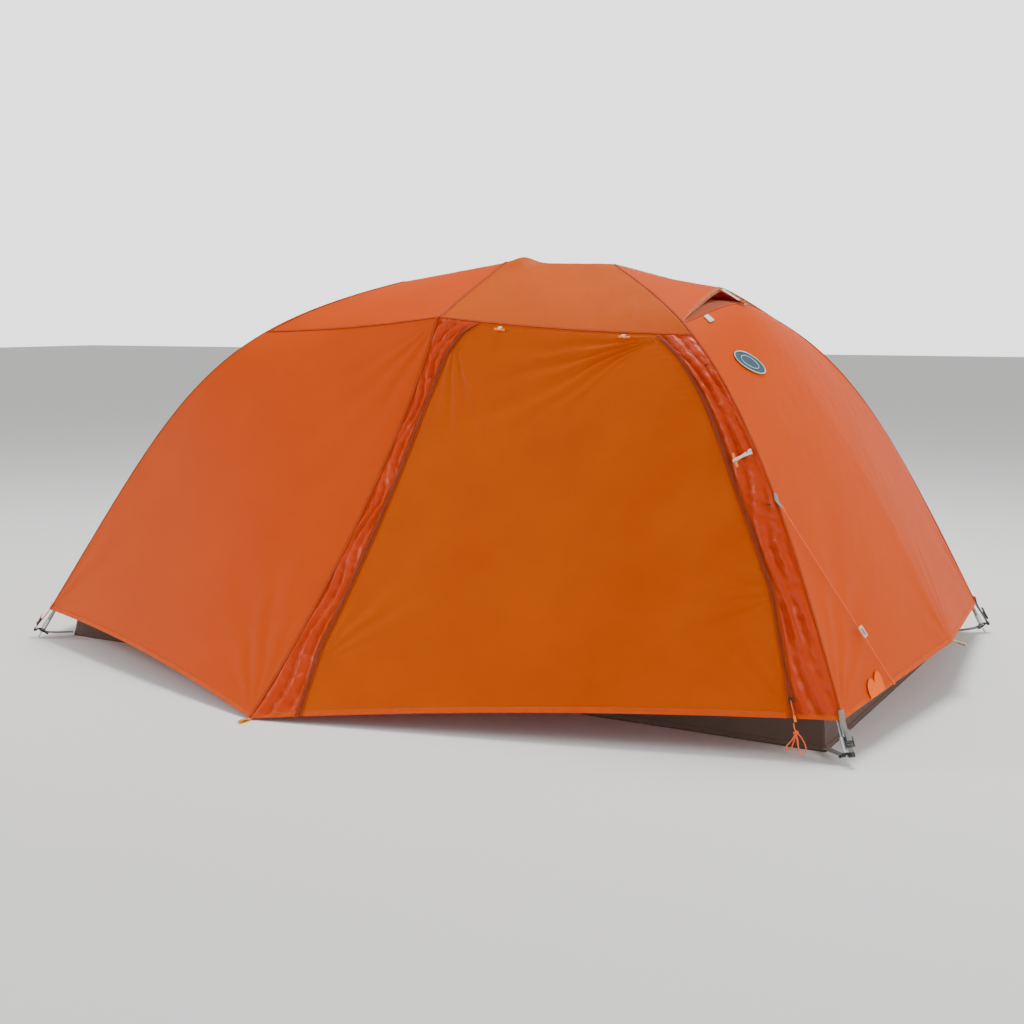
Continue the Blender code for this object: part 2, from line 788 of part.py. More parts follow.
def build_fittings(white, amber, steel, joints, fly):
    """The door's toggles, the zip sliders and the stake loops of the two vestibules."""
    for key, u in TOGGLES.items():
        p, n, _, along = surface_frame("front", u, TOGGLE_DOWN)
        m = frame_matrix(p + n * TOGGLE_LIFT, along, n)
        add_block(f"toggle_{key}", TOGGLE_SIZE, m, amber, joints[f"toggle_{key}"], bevel=0.0012)
    p, n, down, _ = surface_frame("front", FLAP_TOGGLE[0], FLAP_TOGGLE[1])
    m = frame_matrix(p + n * FLAP_TOGGLE_LIFT, down, n)
    add_block("flap_toggle", FLAP_TOGGLE_SIZE, m, amber, joints["flap_toggle"], bevel=0.0012)
    for side in SIDES:
        p, n, down, _ = zip_pull_frame(side)
        m = frame_matrix(p + n * SLIDER_LIFT, down, n)
        add_block(f"zip_slider_{side}", SLIDER_SIZE, m, steel, joints[f"zip_{side}"], bevel=0.0008)
        stake = to_side(np.array(STAKE), side)
        out = unit(to_side(np.array(STAKE_PULL), side))
        m = frame_matrix(stake + out * STAKE_LOOP_OUT + np.array([0, 0, -STAKE_LOOP_DROP]), out, (0, 0, 1))
        add_block(
            f"stake_loop_{side}", STAKE_LOOP_SIZE, m, white, fly, bevel=0.0004,
            slots=[((LOOP_EYE_OUT, 0, 0), LOOP_EYE)],
        )


def zip_pull_frame(side):
    """The zip slider's place at the bottom of the head-side zip, and the straight way up the zip."""
    p, n, down, along = surface_frame(side, float(zip_right(SLIDER_AT)), SLIDER_AT)
    q, _, _, _ = surface_frame(side, float(zip_right(SLIDER_TOWARDS)), SLIDER_TOWARDS)
    return p, n, unit(p - q), along


def corner_frame(end, side):
    ground, up = leg_end(end)
    return to_side(ground, side), to_side(up, side)


def fly_strap_ends(end, side):
    """The ends of the strap from the fly's corner down to the foot, and its outward side."""
    ground, up = corner_frame(end, side)
    tub = to_side(tub_corner(end, 0.0), side)
    outward = unit((ground - tub) * np.array([1, 1, 0]))
    top = to_side(corner(end), side) + outward * 0.004 + np.array([0, 0, -0.006])
    low = ground + up * RING_RISE + outward * 0.020 + np.array([0, 0, 0.006])
    across = np.cross(low - top, outward)
    n = unit(np.cross(across, low - top))
    return top, low, n * np.sign(np.dot(n, outward))


def build_corners(dark, grey, joints, fly):
    for end in ENDS:
        for side in SIDES:
            ground, up = corner_frame(end, side)
            tub = to_side(tub_corner(end, 0.0), side)
            level = ground + up * RING_RISE
            outward = unit((ground - tub) * np.array([1, 1, 0]))
            ring_low = level - up * RING_HEIGHT / 2
            start = tub + outward * 0.003 + np.array([0, 0, 0.010])
            near = level - unit(outward - np.dot(outward, up) * up) * 0.0095
            run = near - start
            m = frame_matrix(start + run / 2, run, (0, 0, 1))
            size = (float(np.linalg.norm(run)), WEBBING, WEBBING_THICK)
            strap = add_block(f"corner_strap_{end}_{side}", size, m, dark, bevel=0)
            fuse_ring(strap, ring_low, up)
            top, low, n = fly_strap_ends(end, side)
            run = low - top
            m = frame_matrix(top + run / 2, run, n)
            size = (float(np.linalg.norm(run)), FLY_WEBBING, WEBBING_THICK)
            add_block(f"fly_strap_{end}_{side}", size, m, grey, fly, bevel=0)
            m = frame_matrix(top + run * BUCKLE_AT + n * BUCKLE_LIFT, run, n)
            bars = [((x, 0, 0), BUCKLE_GAP) for x in (-BUCKLE_GAP_AT, BUCKLE_GAP_AT)]
            holder = joints[f"buckle_{end}_{side}"]
            add_block(f"buckle_{end}_{side}", BUCKLE_SIZE, m, dark, holder, 0.0004, bars)


def outline_mesh(name, profile, closed):
    """An outline of (radius, height) points in the XZ plane, for a Screw modifier to turn."""
    bm = bmesh.new()
    verts = [bm.verts.new((r, 0.0, h)) for r, h in profile]
    for a, b in zip(verts, verts[1:]):
        bm.edges.new((a, b))
    if closed:
        bm.edges.new((verts[-1], verts[0]))
    mesh = bpy.data.meshes.new(name)
    bm.to_mesh(mesh)
    bm.free()
    return mesh


def turn(obj, steps):
    screw = obj.modifiers.new("turn", "SCREW")
    screw.steps = steps
    screw.render_steps = steps
    screw.use_merge_vertices = True
    screw.merge_threshold = 0.00001


def fuse_ring(strap, place, direction):
    """Joins the moulded foot ring, which holds the pole's tip, to the end of a corner strap."""
    name = f"{strap.name}_ring"
    outline = [(RING_RADIUS, RING_HEIGHT), (RING_RADIUS, 0.0), (RING_BORE, 0.0), (RING_BORE, RING_HEIGHT)]
    tool = bpy.data.objects.new(name, outline_mesh(name, outline, closed=True))
    CUTTERS.objects.link(tool)
    turn(tool, 18)
    tool.location = place
    tool.rotation_euler = Vector(direction).to_track_quat("Z", "Y").to_euler()
    tool.hide_render = True
    tool.display_type = "WIRE"
    join = strap.modifiers.new("ring", "BOOLEAN")
    join.operation = "UNION"
    join.object = tool


def build_guy(cord, grey, joints, fly):
    """The storm line: taut along the head end, with its tensioner, and the tied spare line."""
    top, low = guy_ends()
    run = unit(low - top)
    add_tube("guyline", mixed(top, low, np.linspace(0, 1, 9)), GUY_RADIUS, cord, fly)
    over = unit(np.cross(np.cross(run, GUY_OUT), run)) * TENSIONER_LIFT
    m = frame_matrix(mixed(top, low, TENSIONER_AT) + over, run, GUY_OUT)
    add_block(
        "guy_tensioner", TENSIONER_SIZE, m, grey, joints["guy_tensioner"], bevel=0.0008,
        slots=[((0, 0, 0), TENSIONER_SLOT)],
    )
    place = frame_matrix(HANK_PLACE, (1, 0.15, 0), (0.1, -1, 0.25))
    bm = bmesh.new()
    bmesh.ops.create_uvsphere(bm, u_segments=14, v_segments=8, radius=0.5)
    bmesh.ops.scale(bm, vec=HANK_SIZE, verts=bm.verts)
    mesh = bpy.data.meshes.new("spare_line")
    bm.to_mesh(mesh)
    bm.free()
    mesh.shade_smooth()
    hank = add_object("spare_line", mesh, cord)
    hank.matrix_world = place
    bpy.context.view_layer.update()
    adopt(hank, fly)


def guy_ends():
    """The storm line's ends, just clear of the leg's seam and of the head end's hem."""
    t = parameter_at("head", GUY_TOP_Z)
    top = to_side(fly_leg("head", t), "front") + GUY_OUT * GUY_CLEAR
    low = end_surface("head", np.array([GUY_HEM_AT]), np.array([parameter_at("head", HEAD_HEM)]))[0]
    return top, low + GUY_OUT * GUY_CLEAR


def build_strut(white, joints):
    """The vent's strut, from the head end's top edge up to the hood."""
    base, tip = strut_ends()
    run = tip - base
    m = frame_matrix((base + tip) / 2, run, (1, 0, 1))
    size = (float(np.linalg.norm(run)), STRUT_WIDTH, STRUT_THICK)
    add_block("vent_strut", size, m, white, joints["vent_strut"], bevel=0.0004)


def strut_ends():
    w = np.array([0.5])
    base = end_surface("head", w, np.array([HOOD_END + 0.020]))[0] + np.array([0.004, 0, 0.006])
    peak = hood_surface(w, np.array([0.97]))[0]
    return base, base + unit(peak - base) * STRUT_LENGTH


def build_end_loops(white, fly):
    for end in ENDS:
        sign = 1.0 if end == "head" else -1.0
        place = (sign * (END_LOOP_X + END_LOOP_OUT), 0, END_LOOP_Z - END_LOOP_DROP)
        m = frame_matrix(place, (sign, 0, -0.25), (0, 0, 1))
        add_block(
            f"end_loop_{end}", END_LOOP_SIZE, m, white, fly, bevel=0.0004,
            slots=[((END_EYE_OUT, 0, 0), LOOP_EYE)],
        )


def door_hinge(side):
    """Two points of the line that a fly door swings about, at its top zip."""
    v = np.array([DOOR_TOP, DOOR_TOP])
    u = np.array([float(zip_left(DOOR_TOP)), float(zip_right(DOOR_TOP))])
    return to_side(side_surface("head", u, v), side)


def inner_hinge(side):
    """Two points of the line that an inner door swings about, at its lower edge."""
    grid = inner_grid(side)
    return grid[INNER_ROWS, [8, 15]]


def joint_axes():
    """Every joint's point and direction at rest, by name."""
    axes = {"fly_lift": ((0.0, 0.0, 0.5), (0.0, 0.0, 1.0))}
    for side, sign in SIDES.items():
        a, b = door_hinge(side)
        axes[f"door_{side}"] = ((a + b) / 2, unit(b - a) * sign)
        a, b = inner_hinge(side)
        axes[f"inner_door_{side}"] = ((a + b) / 2, unit(b - a) * sign)
        p, n, up, _ = zip_pull_frame(side)
        axes[f"zip_{side}"] = (p, -up)
        for end in ENDS:
            top, low, _ = fly_strap_ends(end, side)
            axes[f"buckle_{end}_{side}"] = (top + (low - top) * BUCKLE_AT, unit(top - low))
    for key, u in TOGGLES.items():
        p, n, _, _ = surface_frame("front", u, TOGGLE_DOWN)
        axes[f"toggle_{key}"] = (p, n)
    p, n, _, _ = surface_frame("front", FLAP_TOGGLE[0], FLAP_TOGGLE[1])
    axes["flap_toggle"] = (p, n)
    top, low = guy_ends()
    axes["guy_tensioner"] = (mixed(top, low, TENSIONER_AT), unit(top - low))
    base, _ = strut_ends()
    axes["vent_strut"] = (base, (0.0, 1.0, 0.0))
    return axes


def build_joints():
    """An empty on each joint's axis, under the fly's empty where the piece hangs on the fly."""
    axes = joint_axes()
    fly = add_empty("joint_fly_lift", axes["fly_lift"][0])
    made = {"fly_lift": fly}
    for name, (place, _) in axes.items():
        if name == "fly_lift":
            continue
        parent = None if name.startswith("inner") else fly
        if name in ("toggle_a", "toggle_b"):
            parent = made["door_front"]
        made[name] = add_empty(f"joint_{name}", place, parent)
    return made


def main():
    cloth = new_material("fly_nylon", (0.66, 0.17, 0.03), 0.55)
    tub = new_material("tub_nylon", (0.20, 0.14, 0.11), 0.60)
    netting = new_material("polyester_mesh", (0.35, 0.33, 0.31), 0.80)
    lining = new_material("canopy_nylon", (0.45, 0.40, 0.36), 0.60)
    metal = new_material("pole_aluminium", (0.55, 0.56, 0.58), 0.35, 1.0)
    dark = new_material("black_acetal", (0.02, 0.02, 0.02), 0.45)
    steel = new_material("tip_aluminium", (0.62, 0.62, 0.64), 0.30, 1.0)
    amber = new_material("amber_acetal", (0.85, 0.30, 0.02), 0.40)
    white = new_material("white_webbing", (0.75, 0.74, 0.72), 0.75)
    grey = new_material("grey_webbing", (0.42, 0.42, 0.41), 0.75)
    cord = new_material("orange_cord", (0.85, 0.27, 0.06), 0.70)
    joints = build_joints()
    fly = joints["fly_lift"]
    doors = {side: joints[f"door_{side}"] for side in SIDES}
    inner_doors = {side: joints[f"inner_door_{side}"] for side in SIDES}
    build_poles(metal, dark, steel)
    build_tub(tub)
    build_inner(netting, lining, inner_doors)
    build_fly(cloth, fly, doors)
    build_fittings(white, amber, dark, joints, fly)
    build_corners(dark, grey, joints, fly)
    build_end_loops(white, fly)
    build_strut(white, joints)
    build_guy(cord, grey, joints, fly)


clear_scene()
TENT = new_collection("dome_tent")
CUTTERS = new_collection("cutters")
main()
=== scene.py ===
"""Two-person dome tent with its rain fly pitched: every visible surface, built on the tent's frame.

Metres, +Z up. +X points to the head end with the vent and -Y to the front door. Each piece is one
operator's work, listed in the sidebar panel, and the sizes that shape it are properties.
"""

import math

import bmesh
import bpy
import numpy as np
from mathutils import Matrix, Vector


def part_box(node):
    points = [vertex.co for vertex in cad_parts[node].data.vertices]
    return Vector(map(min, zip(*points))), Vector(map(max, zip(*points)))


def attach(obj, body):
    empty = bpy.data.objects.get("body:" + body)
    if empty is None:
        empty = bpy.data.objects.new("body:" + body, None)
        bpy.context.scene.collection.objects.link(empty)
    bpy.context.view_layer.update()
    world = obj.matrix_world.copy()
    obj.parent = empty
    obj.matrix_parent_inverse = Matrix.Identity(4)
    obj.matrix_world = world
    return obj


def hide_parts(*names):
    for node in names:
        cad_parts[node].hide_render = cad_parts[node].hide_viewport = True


bl_info = {
    "name": "Dome tent",
    "version": (1, 0, 0),
    "blender": (4, 5, 0),
    "location": "View3D > Sidebar > Tent",
    "description": "Builds a pitched two-person dome tent with a rain fly",
    "category": "Object",
}

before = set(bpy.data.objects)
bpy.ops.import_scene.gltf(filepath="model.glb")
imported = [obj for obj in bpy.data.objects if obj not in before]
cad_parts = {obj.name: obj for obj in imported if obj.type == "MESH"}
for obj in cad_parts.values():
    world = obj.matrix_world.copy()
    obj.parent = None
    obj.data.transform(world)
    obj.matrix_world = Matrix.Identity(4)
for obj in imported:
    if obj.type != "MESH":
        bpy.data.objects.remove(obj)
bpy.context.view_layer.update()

# Pole lines and floor
FLOOR_LENGTH = 2.235
HEAD_WIDTH = 1.321
FOOT_WIDTH = 1.067
LEG_SPREAD = 0.070
TUB_HEIGHT = 0.120
TUB_LEAN = 0.012
HEAD_HUB = (0.325, 0.0, 1.045)
FOOT_HUB = (-0.330, 0.0, 1.005)
HEAD_SHOULDER = (0.745, 0.530, 0.905)
HEAD_KNEE = (0.856, 0.444, 0.828)
FOOT_SHOULDER = (-0.701, 0.450, 0.864)
FOOT_KNEE = (-0.860, 0.345, 0.700)
POLE_INSET = 0.017
HUB_REACH = 0.045
TIP_LENGTH = 0.060
BROW_HALF = 0.325
BROW_BELOW = 0.011
BROW_RISE = 0.013
BROW_CROWN = 0.050
BROW_SHIFT = 0.050

# Inner tent
INNER_BROW = np.array([0.0, 0.315, 0.862])
INNER_HEAD = 0.40
INNER_FOOT = 0.30
INNER_INSET = 0.040
INNER_DOOR_TOP = 0.10
INNER_DOOR_LOW = 0.975
CROWN_X = (-0.62, -0.33, 0.0, 0.325, 0.72)
CROWN_Z = (0.800, 0.952, 0.988, 0.985, 0.815)

# Fly
DOOR_TOP = 0.014
ZIP_LEFT_V = (0.0, 0.05, 0.14, 0.30, 0.55, 0.85, 1.0)
ZIP_LEFT_U = (0.19, 0.115, 0.07, 0.055, 0.055, 0.06, 0.088)
ZIP_RIGHT_V = (0.0, 0.05, 0.14, 0.30, 0.55, 0.80, 1.0)
ZIP_RIGHT_U = (0.864, 0.885, 0.909, 0.922, 0.925, 0.94, 0.925)
RIDGE_TOP = 1.053
BROW_SEAM = (0.0, 0.360, 0.905)
HEAD_HEM = 0.087
FOOT_HEM = 0.080
HEM_OUTSET = 0.012
END_LOOP_X = 1.238
END_LOOP_Z = 0.122
STAKE = (-0.110, 1.020, 0.004)
HEAD_SEAM_END = 0.385
FOOT_SEAM_END = 0.290
SEAM_SAG = 0.008
HOOD_END = 0.335
HOOD_PEAK = (0.626, 0.0, 0.981)
HOOD_POINT = 1.25
HOOD_RISE = 1.7
SWELL_HEIGHT = 0.048
SWELL_AT = 0.37
SWELL_REACH = 0.13
STRUT_LENGTH = 0.075
BUMP_HEIGHT = 0.016
BUMP_X = 0.060
BUMP_REACH = 0.040

SIDES = {"front": -1.0, "back": 1.0}
ENDS = ("head", "foot")
MIDDLE = np.array([0.0, 0.0, 0.3])
FLIP_Y = np.array([1.0, -1.0, 1.0])
UP = np.array([0.0, 0.0, 1.0])
LEVEL = np.array([1.0, 1.0, 0.0])

# Cords, straps and zips
CORD_RADIUS = 0.00125
ZIP_LIFT = 0.0012
ZIP_LOW = 0.975
STRAP_RISE = 0.024

# Little bars: each ring's place along the bar and its share of the width
STITCH_RINGS = ((-0.5, 0.45), (0.0, 1.0), (0.5, 0.45))
TURN_RINGS = ((-0.5, 0.45), (-0.28, 1.0), (0.28, 1.0), (0.5, 0.45))
TOGGLE_SHAPE = ((-1, 0.55), (-0.96, 0.85), (-0.6, 1.0), (0, 0.86), (0.6, 1.0), (0.96, 0.85), (1, 0.55))
KNOT_SHAPE = (1.2, 1.5, 1.6, 1.2, 1.0, 1.4, 1.6, 1.5, 1.1, 1.3, 1.3, 0.9)

# Ripstop weave: a thicker thread every 5 mm, each 0.6 mm wide
RIPSTOP_GRID = 0.005
RIPSTOP_THREAD = 0.12
RIPSTOP_SHADE = 0.10
BRAID_PITCH = 0.0022

# Sockets of a Mix node that mixes colours
MIX_FACTOR, MIX_A, MIX_B, MIX_RESULT = 0, 6, 7, 2

# Stage: name, place, what it faces, size; the backdrop's glow fades out between two heights
LAMPS = (
    ("left", (-5.2, -2.2, 2.6), (-0.4, -0.3, 0.5), 1.6),
    ("right", (5.4, -0.6, 2.6), (0.6, 0.0, 0.5), 1.6),
    ("top", (0.2, 1.2, 4.6), (0.0, 0.0, 0.5), 2.0),
)
BACKDROP_LOW = 0.20
BACKDROP_HIGH = 0.32
FLOOR_SIZE = 30.0
CAMERA_LENS = 52.33
CAMERA_FILM = 36.0
CAMERA_FAR = 60.0
CAMERA_PLACE = (1.95136, -3.65247, 0.91323)
CAMERA_TILT = 0.1321
CAMERA_TURN = 0.48586


# ---------------------------------------------------------------- curves and surfaces


def bezier(points, t):
    """Cubic curve through its two end points, for a parameter or an array of them."""
    p = np.asarray(points, float)
    t = np.asarray(t, float)[..., None]
    s = 1.0 - t
    return s**3 * p[0] + 3 * s**2 * t * p[1] + 3 * s * t**2 * p[2] + t**3 * p[3]


def mixed(a, b, t):
    """Points between two points or rows of points."""
    t = np.asarray(t, float)[..., None]
    return (1.0 - t) * np.asarray(a, float) + t * np.asarray(b, float)


def unit(v):
    """Vectors made one long."""
    v = np.asarray(v, float)
    return v / np.maximum(np.linalg.norm(v, axis=-1, keepdims=True), 1e-12)


def width_of(end):
    """The floor's width at an end."""
    return HEAD_WIDTH if end == "head" else FOOT_WIDTH


def sign_of(end):
    """+1 at the head, -1 at the foot."""
    return 1.0 if end == "head" else -1.0


def hem_height(end):
    """The height of the fly's corner above the ground."""
    return HEAD_HEM if end == "head" else FOOT_HEM


def seam_end(end):
    """How far down a leg the roof's lower seam meets it."""
    return HEAD_SEAM_END if end == "head" else FOOT_SEAM_END


def foot_point(end):
    """Where a leg meets the ground, on the +Y side."""
    width = width_of(end)
    return (sign_of(end) * (FLOOR_LENGTH / 2 + LEG_SPREAD), width / 2 + LEG_SPREAD, 0.0)


def leg_line(end, t):
    """The line of the fly over a leg on the +Y side, from the hub (0) to the ground (1)."""
    if end == "head":
        return bezier([HEAD_HUB, HEAD_SHOULDER, HEAD_KNEE, foot_point(end)], t)
    return bezier([FOOT_HUB, FOOT_SHOULDER, FOOT_KNEE, foot_point(end)], t)


def pole_line(end, t):
    """The centre of a leg's pole, just inside the line of the fly."""
    p = leg_line(end, t)
    inward = unit(MIDDLE - p)
    return p + inward * (POLE_INSET * (1.0 - np.asarray(t, float)[..., None] ** 6))


def parameter_at(end, z):
    """Where a leg's line comes down to a height."""
    t = np.linspace(0.0, 1.0, 2001)
    return float(np.interp(-z, -leg_line(end, t)[:, 2], t))


def fly_leg(end, t):
    """The fly's edge along a leg, standing a little further out towards the hem."""
    p = leg_line(end, t)
    k = (np.asarray(t, float)[..., None] / parameter_at(end, hem_height(end))) ** 4
    out = unit(p * LEVEL)
    return p + out * HEM_OUTSET * k


def corner(end):
    """The fly's corner at the hem, on the +Y side."""
    return fly_leg(end, parameter_at(end, hem_height(end)))


def flap_line(v):
    """The fold from the brow pole's tip down to the stake loop, on the +Y side."""
    top = np.array(BROW_SEAM)
    low = np.array(STAKE)
    a = top + 0.10 * (low - top)
    b = top + 0.55 * (low - top)
    a[2] = 0.72
    b[2] = 0.28
    return bezier([top, a, b, low], v)


def seam_line(end, u):
    """The roof's lower seam, from the brow pole's tip to a leg."""
    p = mixed(BROW_SEAM, fly_leg(end, seam_end(end)), u)
    p[..., 2] -= SEAM_SAG * 4 * np.asarray(u) * (1 - np.asarray(u))
    return p


def hem_line(end, u, rise):
    """The hem from the stake loop to a corner, cut in a shallow arc."""
    p = mixed(STAKE, corner(end), u)
    p[..., 2] += rise * 4 * np.asarray(u) * (1 - np.asarray(u))
    return p


def coons(top, bottom, left, right, u, v):
    """A surface between four curves: top and bottom run with u, left and right with v."""
    uu = u[..., None]
    vv = v[..., None]
    across = (1 - vv) * top(u) + vv * bottom(u)
    down = (1 - uu) * left(v) + uu * right(v)
    zero = np.zeros(1)
    one = np.ones(1)
    corners = (
        (1 - uu) * (1 - vv) * top(zero)[0]
        + uu * (1 - vv) * top(one)[0]
        + (1 - uu) * vv * bottom(zero)[0]
        + uu * vv * bottom(one)[0]
    )
    return across + down - corners


def side_leg(end, v):
    """A fly leg from the roof's lower seam down to the hem."""
    first = seam_end(end)
    return fly_leg(end, first + (parameter_at(end, hem_height(end)) - first) * np.asarray(v, float))


def side_surface(end, u, v):
    """The fly's side between the flap's fold (u = 0) and a leg (u = 1), on the +Y side."""
    rise = 0.015 if end == "head" else 0.022
    return coons(
        lambda a: seam_line(end, a),
        lambda a: hem_line(end, a, rise),
        flap_line,
        lambda a: side_leg(end, a),
        u,
        v,
    )


def zip_left(v):
    """Where the zip nearest the flap's fold lies across the door side."""
    return smooth_rule(v, ZIP_LEFT_V, ZIP_LEFT_U)


def zip_right(v):
    """Where the zip nearest the head leg lies across the door side."""
    return smooth_rule(v, ZIP_RIGHT_V, ZIP_RIGHT_U)


def brow_height(y):
    """The height of the fly over the brow pole."""
    return RIDGE_TOP - 0.36 * np.abs(y) - 0.143 * y**2


def brow_seam(s):
    """The fly over the brow pole, from the front tip (-1) across the ridge to the back tip (1)."""
    s = np.asarray(s, float)
    y = BROW_SEAM[1] * s
    return np.stack([0.0 * s, y, brow_height(y)], -1)


def hub_arch(end, s, reach):
    """Two legs joined over the hub, from the front leg (-1) to the back leg (1)."""
    s = np.asarray(s, float)
    p = fly_leg(end, np.abs(s) * reach)
    p[..., 1] *= np.sign(s)
    return p


def roof_surface(end, u, s):
    """The roof between the brow seam (u = 0) and the legs (u = 1)."""
    p = mixed(brow_seam(s), hub_arch(end, s, seam_end(end)), u)
    p[..., 2] -= SEAM_SAG * 4 * u * (1 - u) * np.abs(s)
    away = ((p[..., 0] - BUMP_X) ** 2 + p[..., 1] ** 2) / BUMP_REACH**2
    p[..., 2] += BUMP_HEIGHT * np.exp(-away)
    return p


def end_surface(end, w, t):
    """The fly's end between its front leg (w = 0) and its back leg (w = 1)."""
    last = parameter_at(end, hem_height(end))
    back = fly_leg(end, t)
    front = back * FLIP_Y
    p = (1 - w[..., None]) * front + w[..., None] * back
    k = (t / last) ** 3
    point = 1 - np.abs(2 * w - 1)
    shape = (1 - k) * np.sin(math.pi * w) + k * point
    out = abs(END_LOOP_X) - abs(float(corner(end)[0]))
    p[..., 0] += sign_of(end) * out * (t / last) ** 2 * shape
    p[..., 2] += (END_LOOP_Z - hem_height(end)) * k * point
    if end == "head":
        near = np.exp(-(((t - SWELL_AT) / SWELL_REACH) ** 2))
        p[..., 2] += SWELL_HEIGHT * (np.sin(math.pi * np.clip(w, 0, 1)) ** 1.2 * near)
    return p


def hood_surface(w, r):
    """The vent's hood from the hub (r = 0) to its raised free edge (r = 1)."""
    t = r * HOOD_END
    back = fly_leg("head", t)
    front = back * FLIP_Y
    p = (1 - w[..., None]) * front + w[..., None] * back
    flat = 0.5 * (fly_leg("head", HOOD_END) + fly_leg("head", HOOD_END) * FLIP_Y)
    lift = np.array(HOOD_PEAK) - flat
    bow = ((1 - np.abs(2 * w - 1) ** HOOD_POINT) * r**HOOD_RISE)[..., None]
    return p + bow * lift


def inner_leg(end, t):
    """The inner tent's corner seam, inside a leg's pole."""
    p = leg_line(end, t)
    inward = unit(MIDDLE - p)
    return p + inward * INNER_INSET


def tub_corner(end, z):
    """The bathtub floor's corner at a height, on the +Y side."""
    lean = TUB_LEAN * z / TUB_HEIGHT
    return np.array([sign_of(end) * (FLOOR_LENGTH / 2 - lean), width_of(end) / 2 - lean, z])


def inner_edge(end, first, v):
    """The inner tent's corner seam from a leg parameter down to the floor's rim."""
    v = np.asarray(v, float)
    last = parameter_at(end, TUB_HEIGHT + 0.10)
    t = first + (last - first) * np.minimum(v / 0.85, 1.0)
    rim = tub_corner(end, TUB_HEIGHT + 0.004) * np.array([0.998, 0.998, 1.0])
    k = np.clip((v - 0.85) / 0.15, 0.0, 1.0)[..., None]
    return (1 - k) * inner_leg(end, t) + k * rim


def inner_top(u):
    """The upper edge of the inner tent's side, from the foot leg over the brow to the head leg."""
    u = np.asarray(u, float)
    a = inner_leg("foot", np.array([INNER_FOOT]))[0]
    b = inner_leg("head", np.array([INNER_HEAD]))[0]
    mid = 0.46
    low = np.clip(u / mid, 0.0, 1.0)[..., None]
    high = np.clip((u - mid) / (1 - mid), 0.0, 1.0)[..., None]
    foot_part = (1 - low) * a + low * INNER_BROW
    head_part = (1 - high) * INNER_BROW + high * b
    return np.where(u[..., None] < mid, foot_part, head_part)


def inner_side(u, v):
    """The inner tent's long side, from the foot leg (u = 0) to the head leg (u = 1), on the +Y side."""
    foot_rim = inner_edge("foot", INNER_FOOT, np.ones(1))[0]
    head_rim = inner_edge("head", INNER_HEAD, np.ones(1))[0]
    return coons(
        inner_top,
        lambda a: mixed(foot_rim, head_rim, a),
        lambda a: inner_edge("foot", INNER_FOOT, a),
        lambda a: inner_edge("head", INNER_HEAD, a),
        u,
        v,
    )


def inner_end(end, w, v):
    """The inner tent's end, between its two corner seams."""
    first = INNER_HEAD if end == "head" else INNER_FOOT
    back = inner_edge(end, first, v)
    front = back * FLIP_Y
    return (1 - w[..., None]) * front + w[..., None] * back


def inner_roof(u, s):
    """The inner tent's roof, hung under the ridge and the brow pole."""
    edge = inner_top(u)
    y = edge[..., 1] * s
    crown = np.interp(edge[..., 0], CROWN_X, CROWN_Z)
    rise = crown - edge[..., 2]
    z = edge[..., 2] + rise * (1 - np.abs(s) ** 1.15)
    return np.stack([edge[..., 0], y, z], -1)


# ---------------------------------------------------------------- grids of cloth


def smooth_rule(v, at, value):
    """A rule between given points with its corners eased over a twentieth of its run."""
    fine = np.linspace(-0.2, 1.2, 1401)
    eased = np.interp(fine, at, value)
    half = 25
    weights = np.hanning(2 * half + 1)
    padded = np.pad(eased, half, mode="edge")
    eased = np.convolve(padded, weights / weights.sum(), mode="valid")
    return np.interp(v, fine, eased)


def to_side(points, side):
    """Points of the +Y side, on the side asked for."""
    return points * np.array([1.0, SIDES[side], 1.0])


def lengths(points):
    """Distance along rows of points, from 0 at the first."""
    step = np.linalg.norm(np.diff(points, axis=-2), axis=-1)
    return np.concatenate([np.zeros(step.shape[:-1] + (1,)), np.cumsum(step, axis=-1)], axis=-1)


def grid_normals(grid):
    """Normals of a grid of points, facing away from the tent's middle."""
    du = np.gradient(grid, axis=1)
    dv = np.gradient(grid, axis=0)
    n = unit(np.cross(du, dv))
    away = grid - MIDDLE
    if np.sum(n * away) < 0:
        n = -n
    return n


def rumple(s, t, size, seed):
    """Smooth irregular height between about -1 and 1, with features of a size in metres."""
    rng = np.random.default_rng(seed)
    total = np.zeros_like(s)
    count = 6
    for _ in range(count):
        a = rng.uniform(0, 2 * math.pi)
        k = 2 * math.pi / (size * rng.uniform(0.7, 1.5))
        total += np.sin(k * (s * math.cos(a) + t * math.sin(a)) + rng.uniform(0, 2 * math.pi))
    return total / count * 1.6


def fan(s, t, at, toward, spread, count, height, reach, seed=1):
    """Tension folds that fan out from a pulled point of the cloth, towards an angle in degrees."""
    ds = s - at[0]
    dt = t - at[1]
    r = np.hypot(ds, dt)
    a = np.arctan2(dt, ds) - math.radians(toward)
    a = (a + math.pi) % (2 * math.pi) - math.pi
    half = math.radians(spread) / 2
    wander = 0.35 * rumple(s, t, 0.12, seed)
    ridge = np.cos(a / half * count * math.pi / 2 + wander * 2)
    near = r / (0.18 * reach)
    return height * ridge * np.exp(-((a / half) ** 2)) * near * np.exp(1 - near) * (r < 3 * reach)


def pucker(d, along, period, height, reach, seed=2):
    """Small gathers beside a stitched edge, fading with the distance from it."""
    wander = rumple(along, d * 0.3, 0.09, seed)
    gather = np.cos(2 * math.pi * along / period + 2.2 * wander)
    return height * gather * (0.65 + 0.35 * wander) * np.exp(-d / reach)


PANELS = {}


def measured(grid):
    """Cloth coordinates and distances from the four edges, in metres."""
    s = lengths(grid)
    t = lengths(grid.swapaxes(0, 1)).T
    return s, t, s, s[:, -1:] - s, t, t[-1:, :] - t


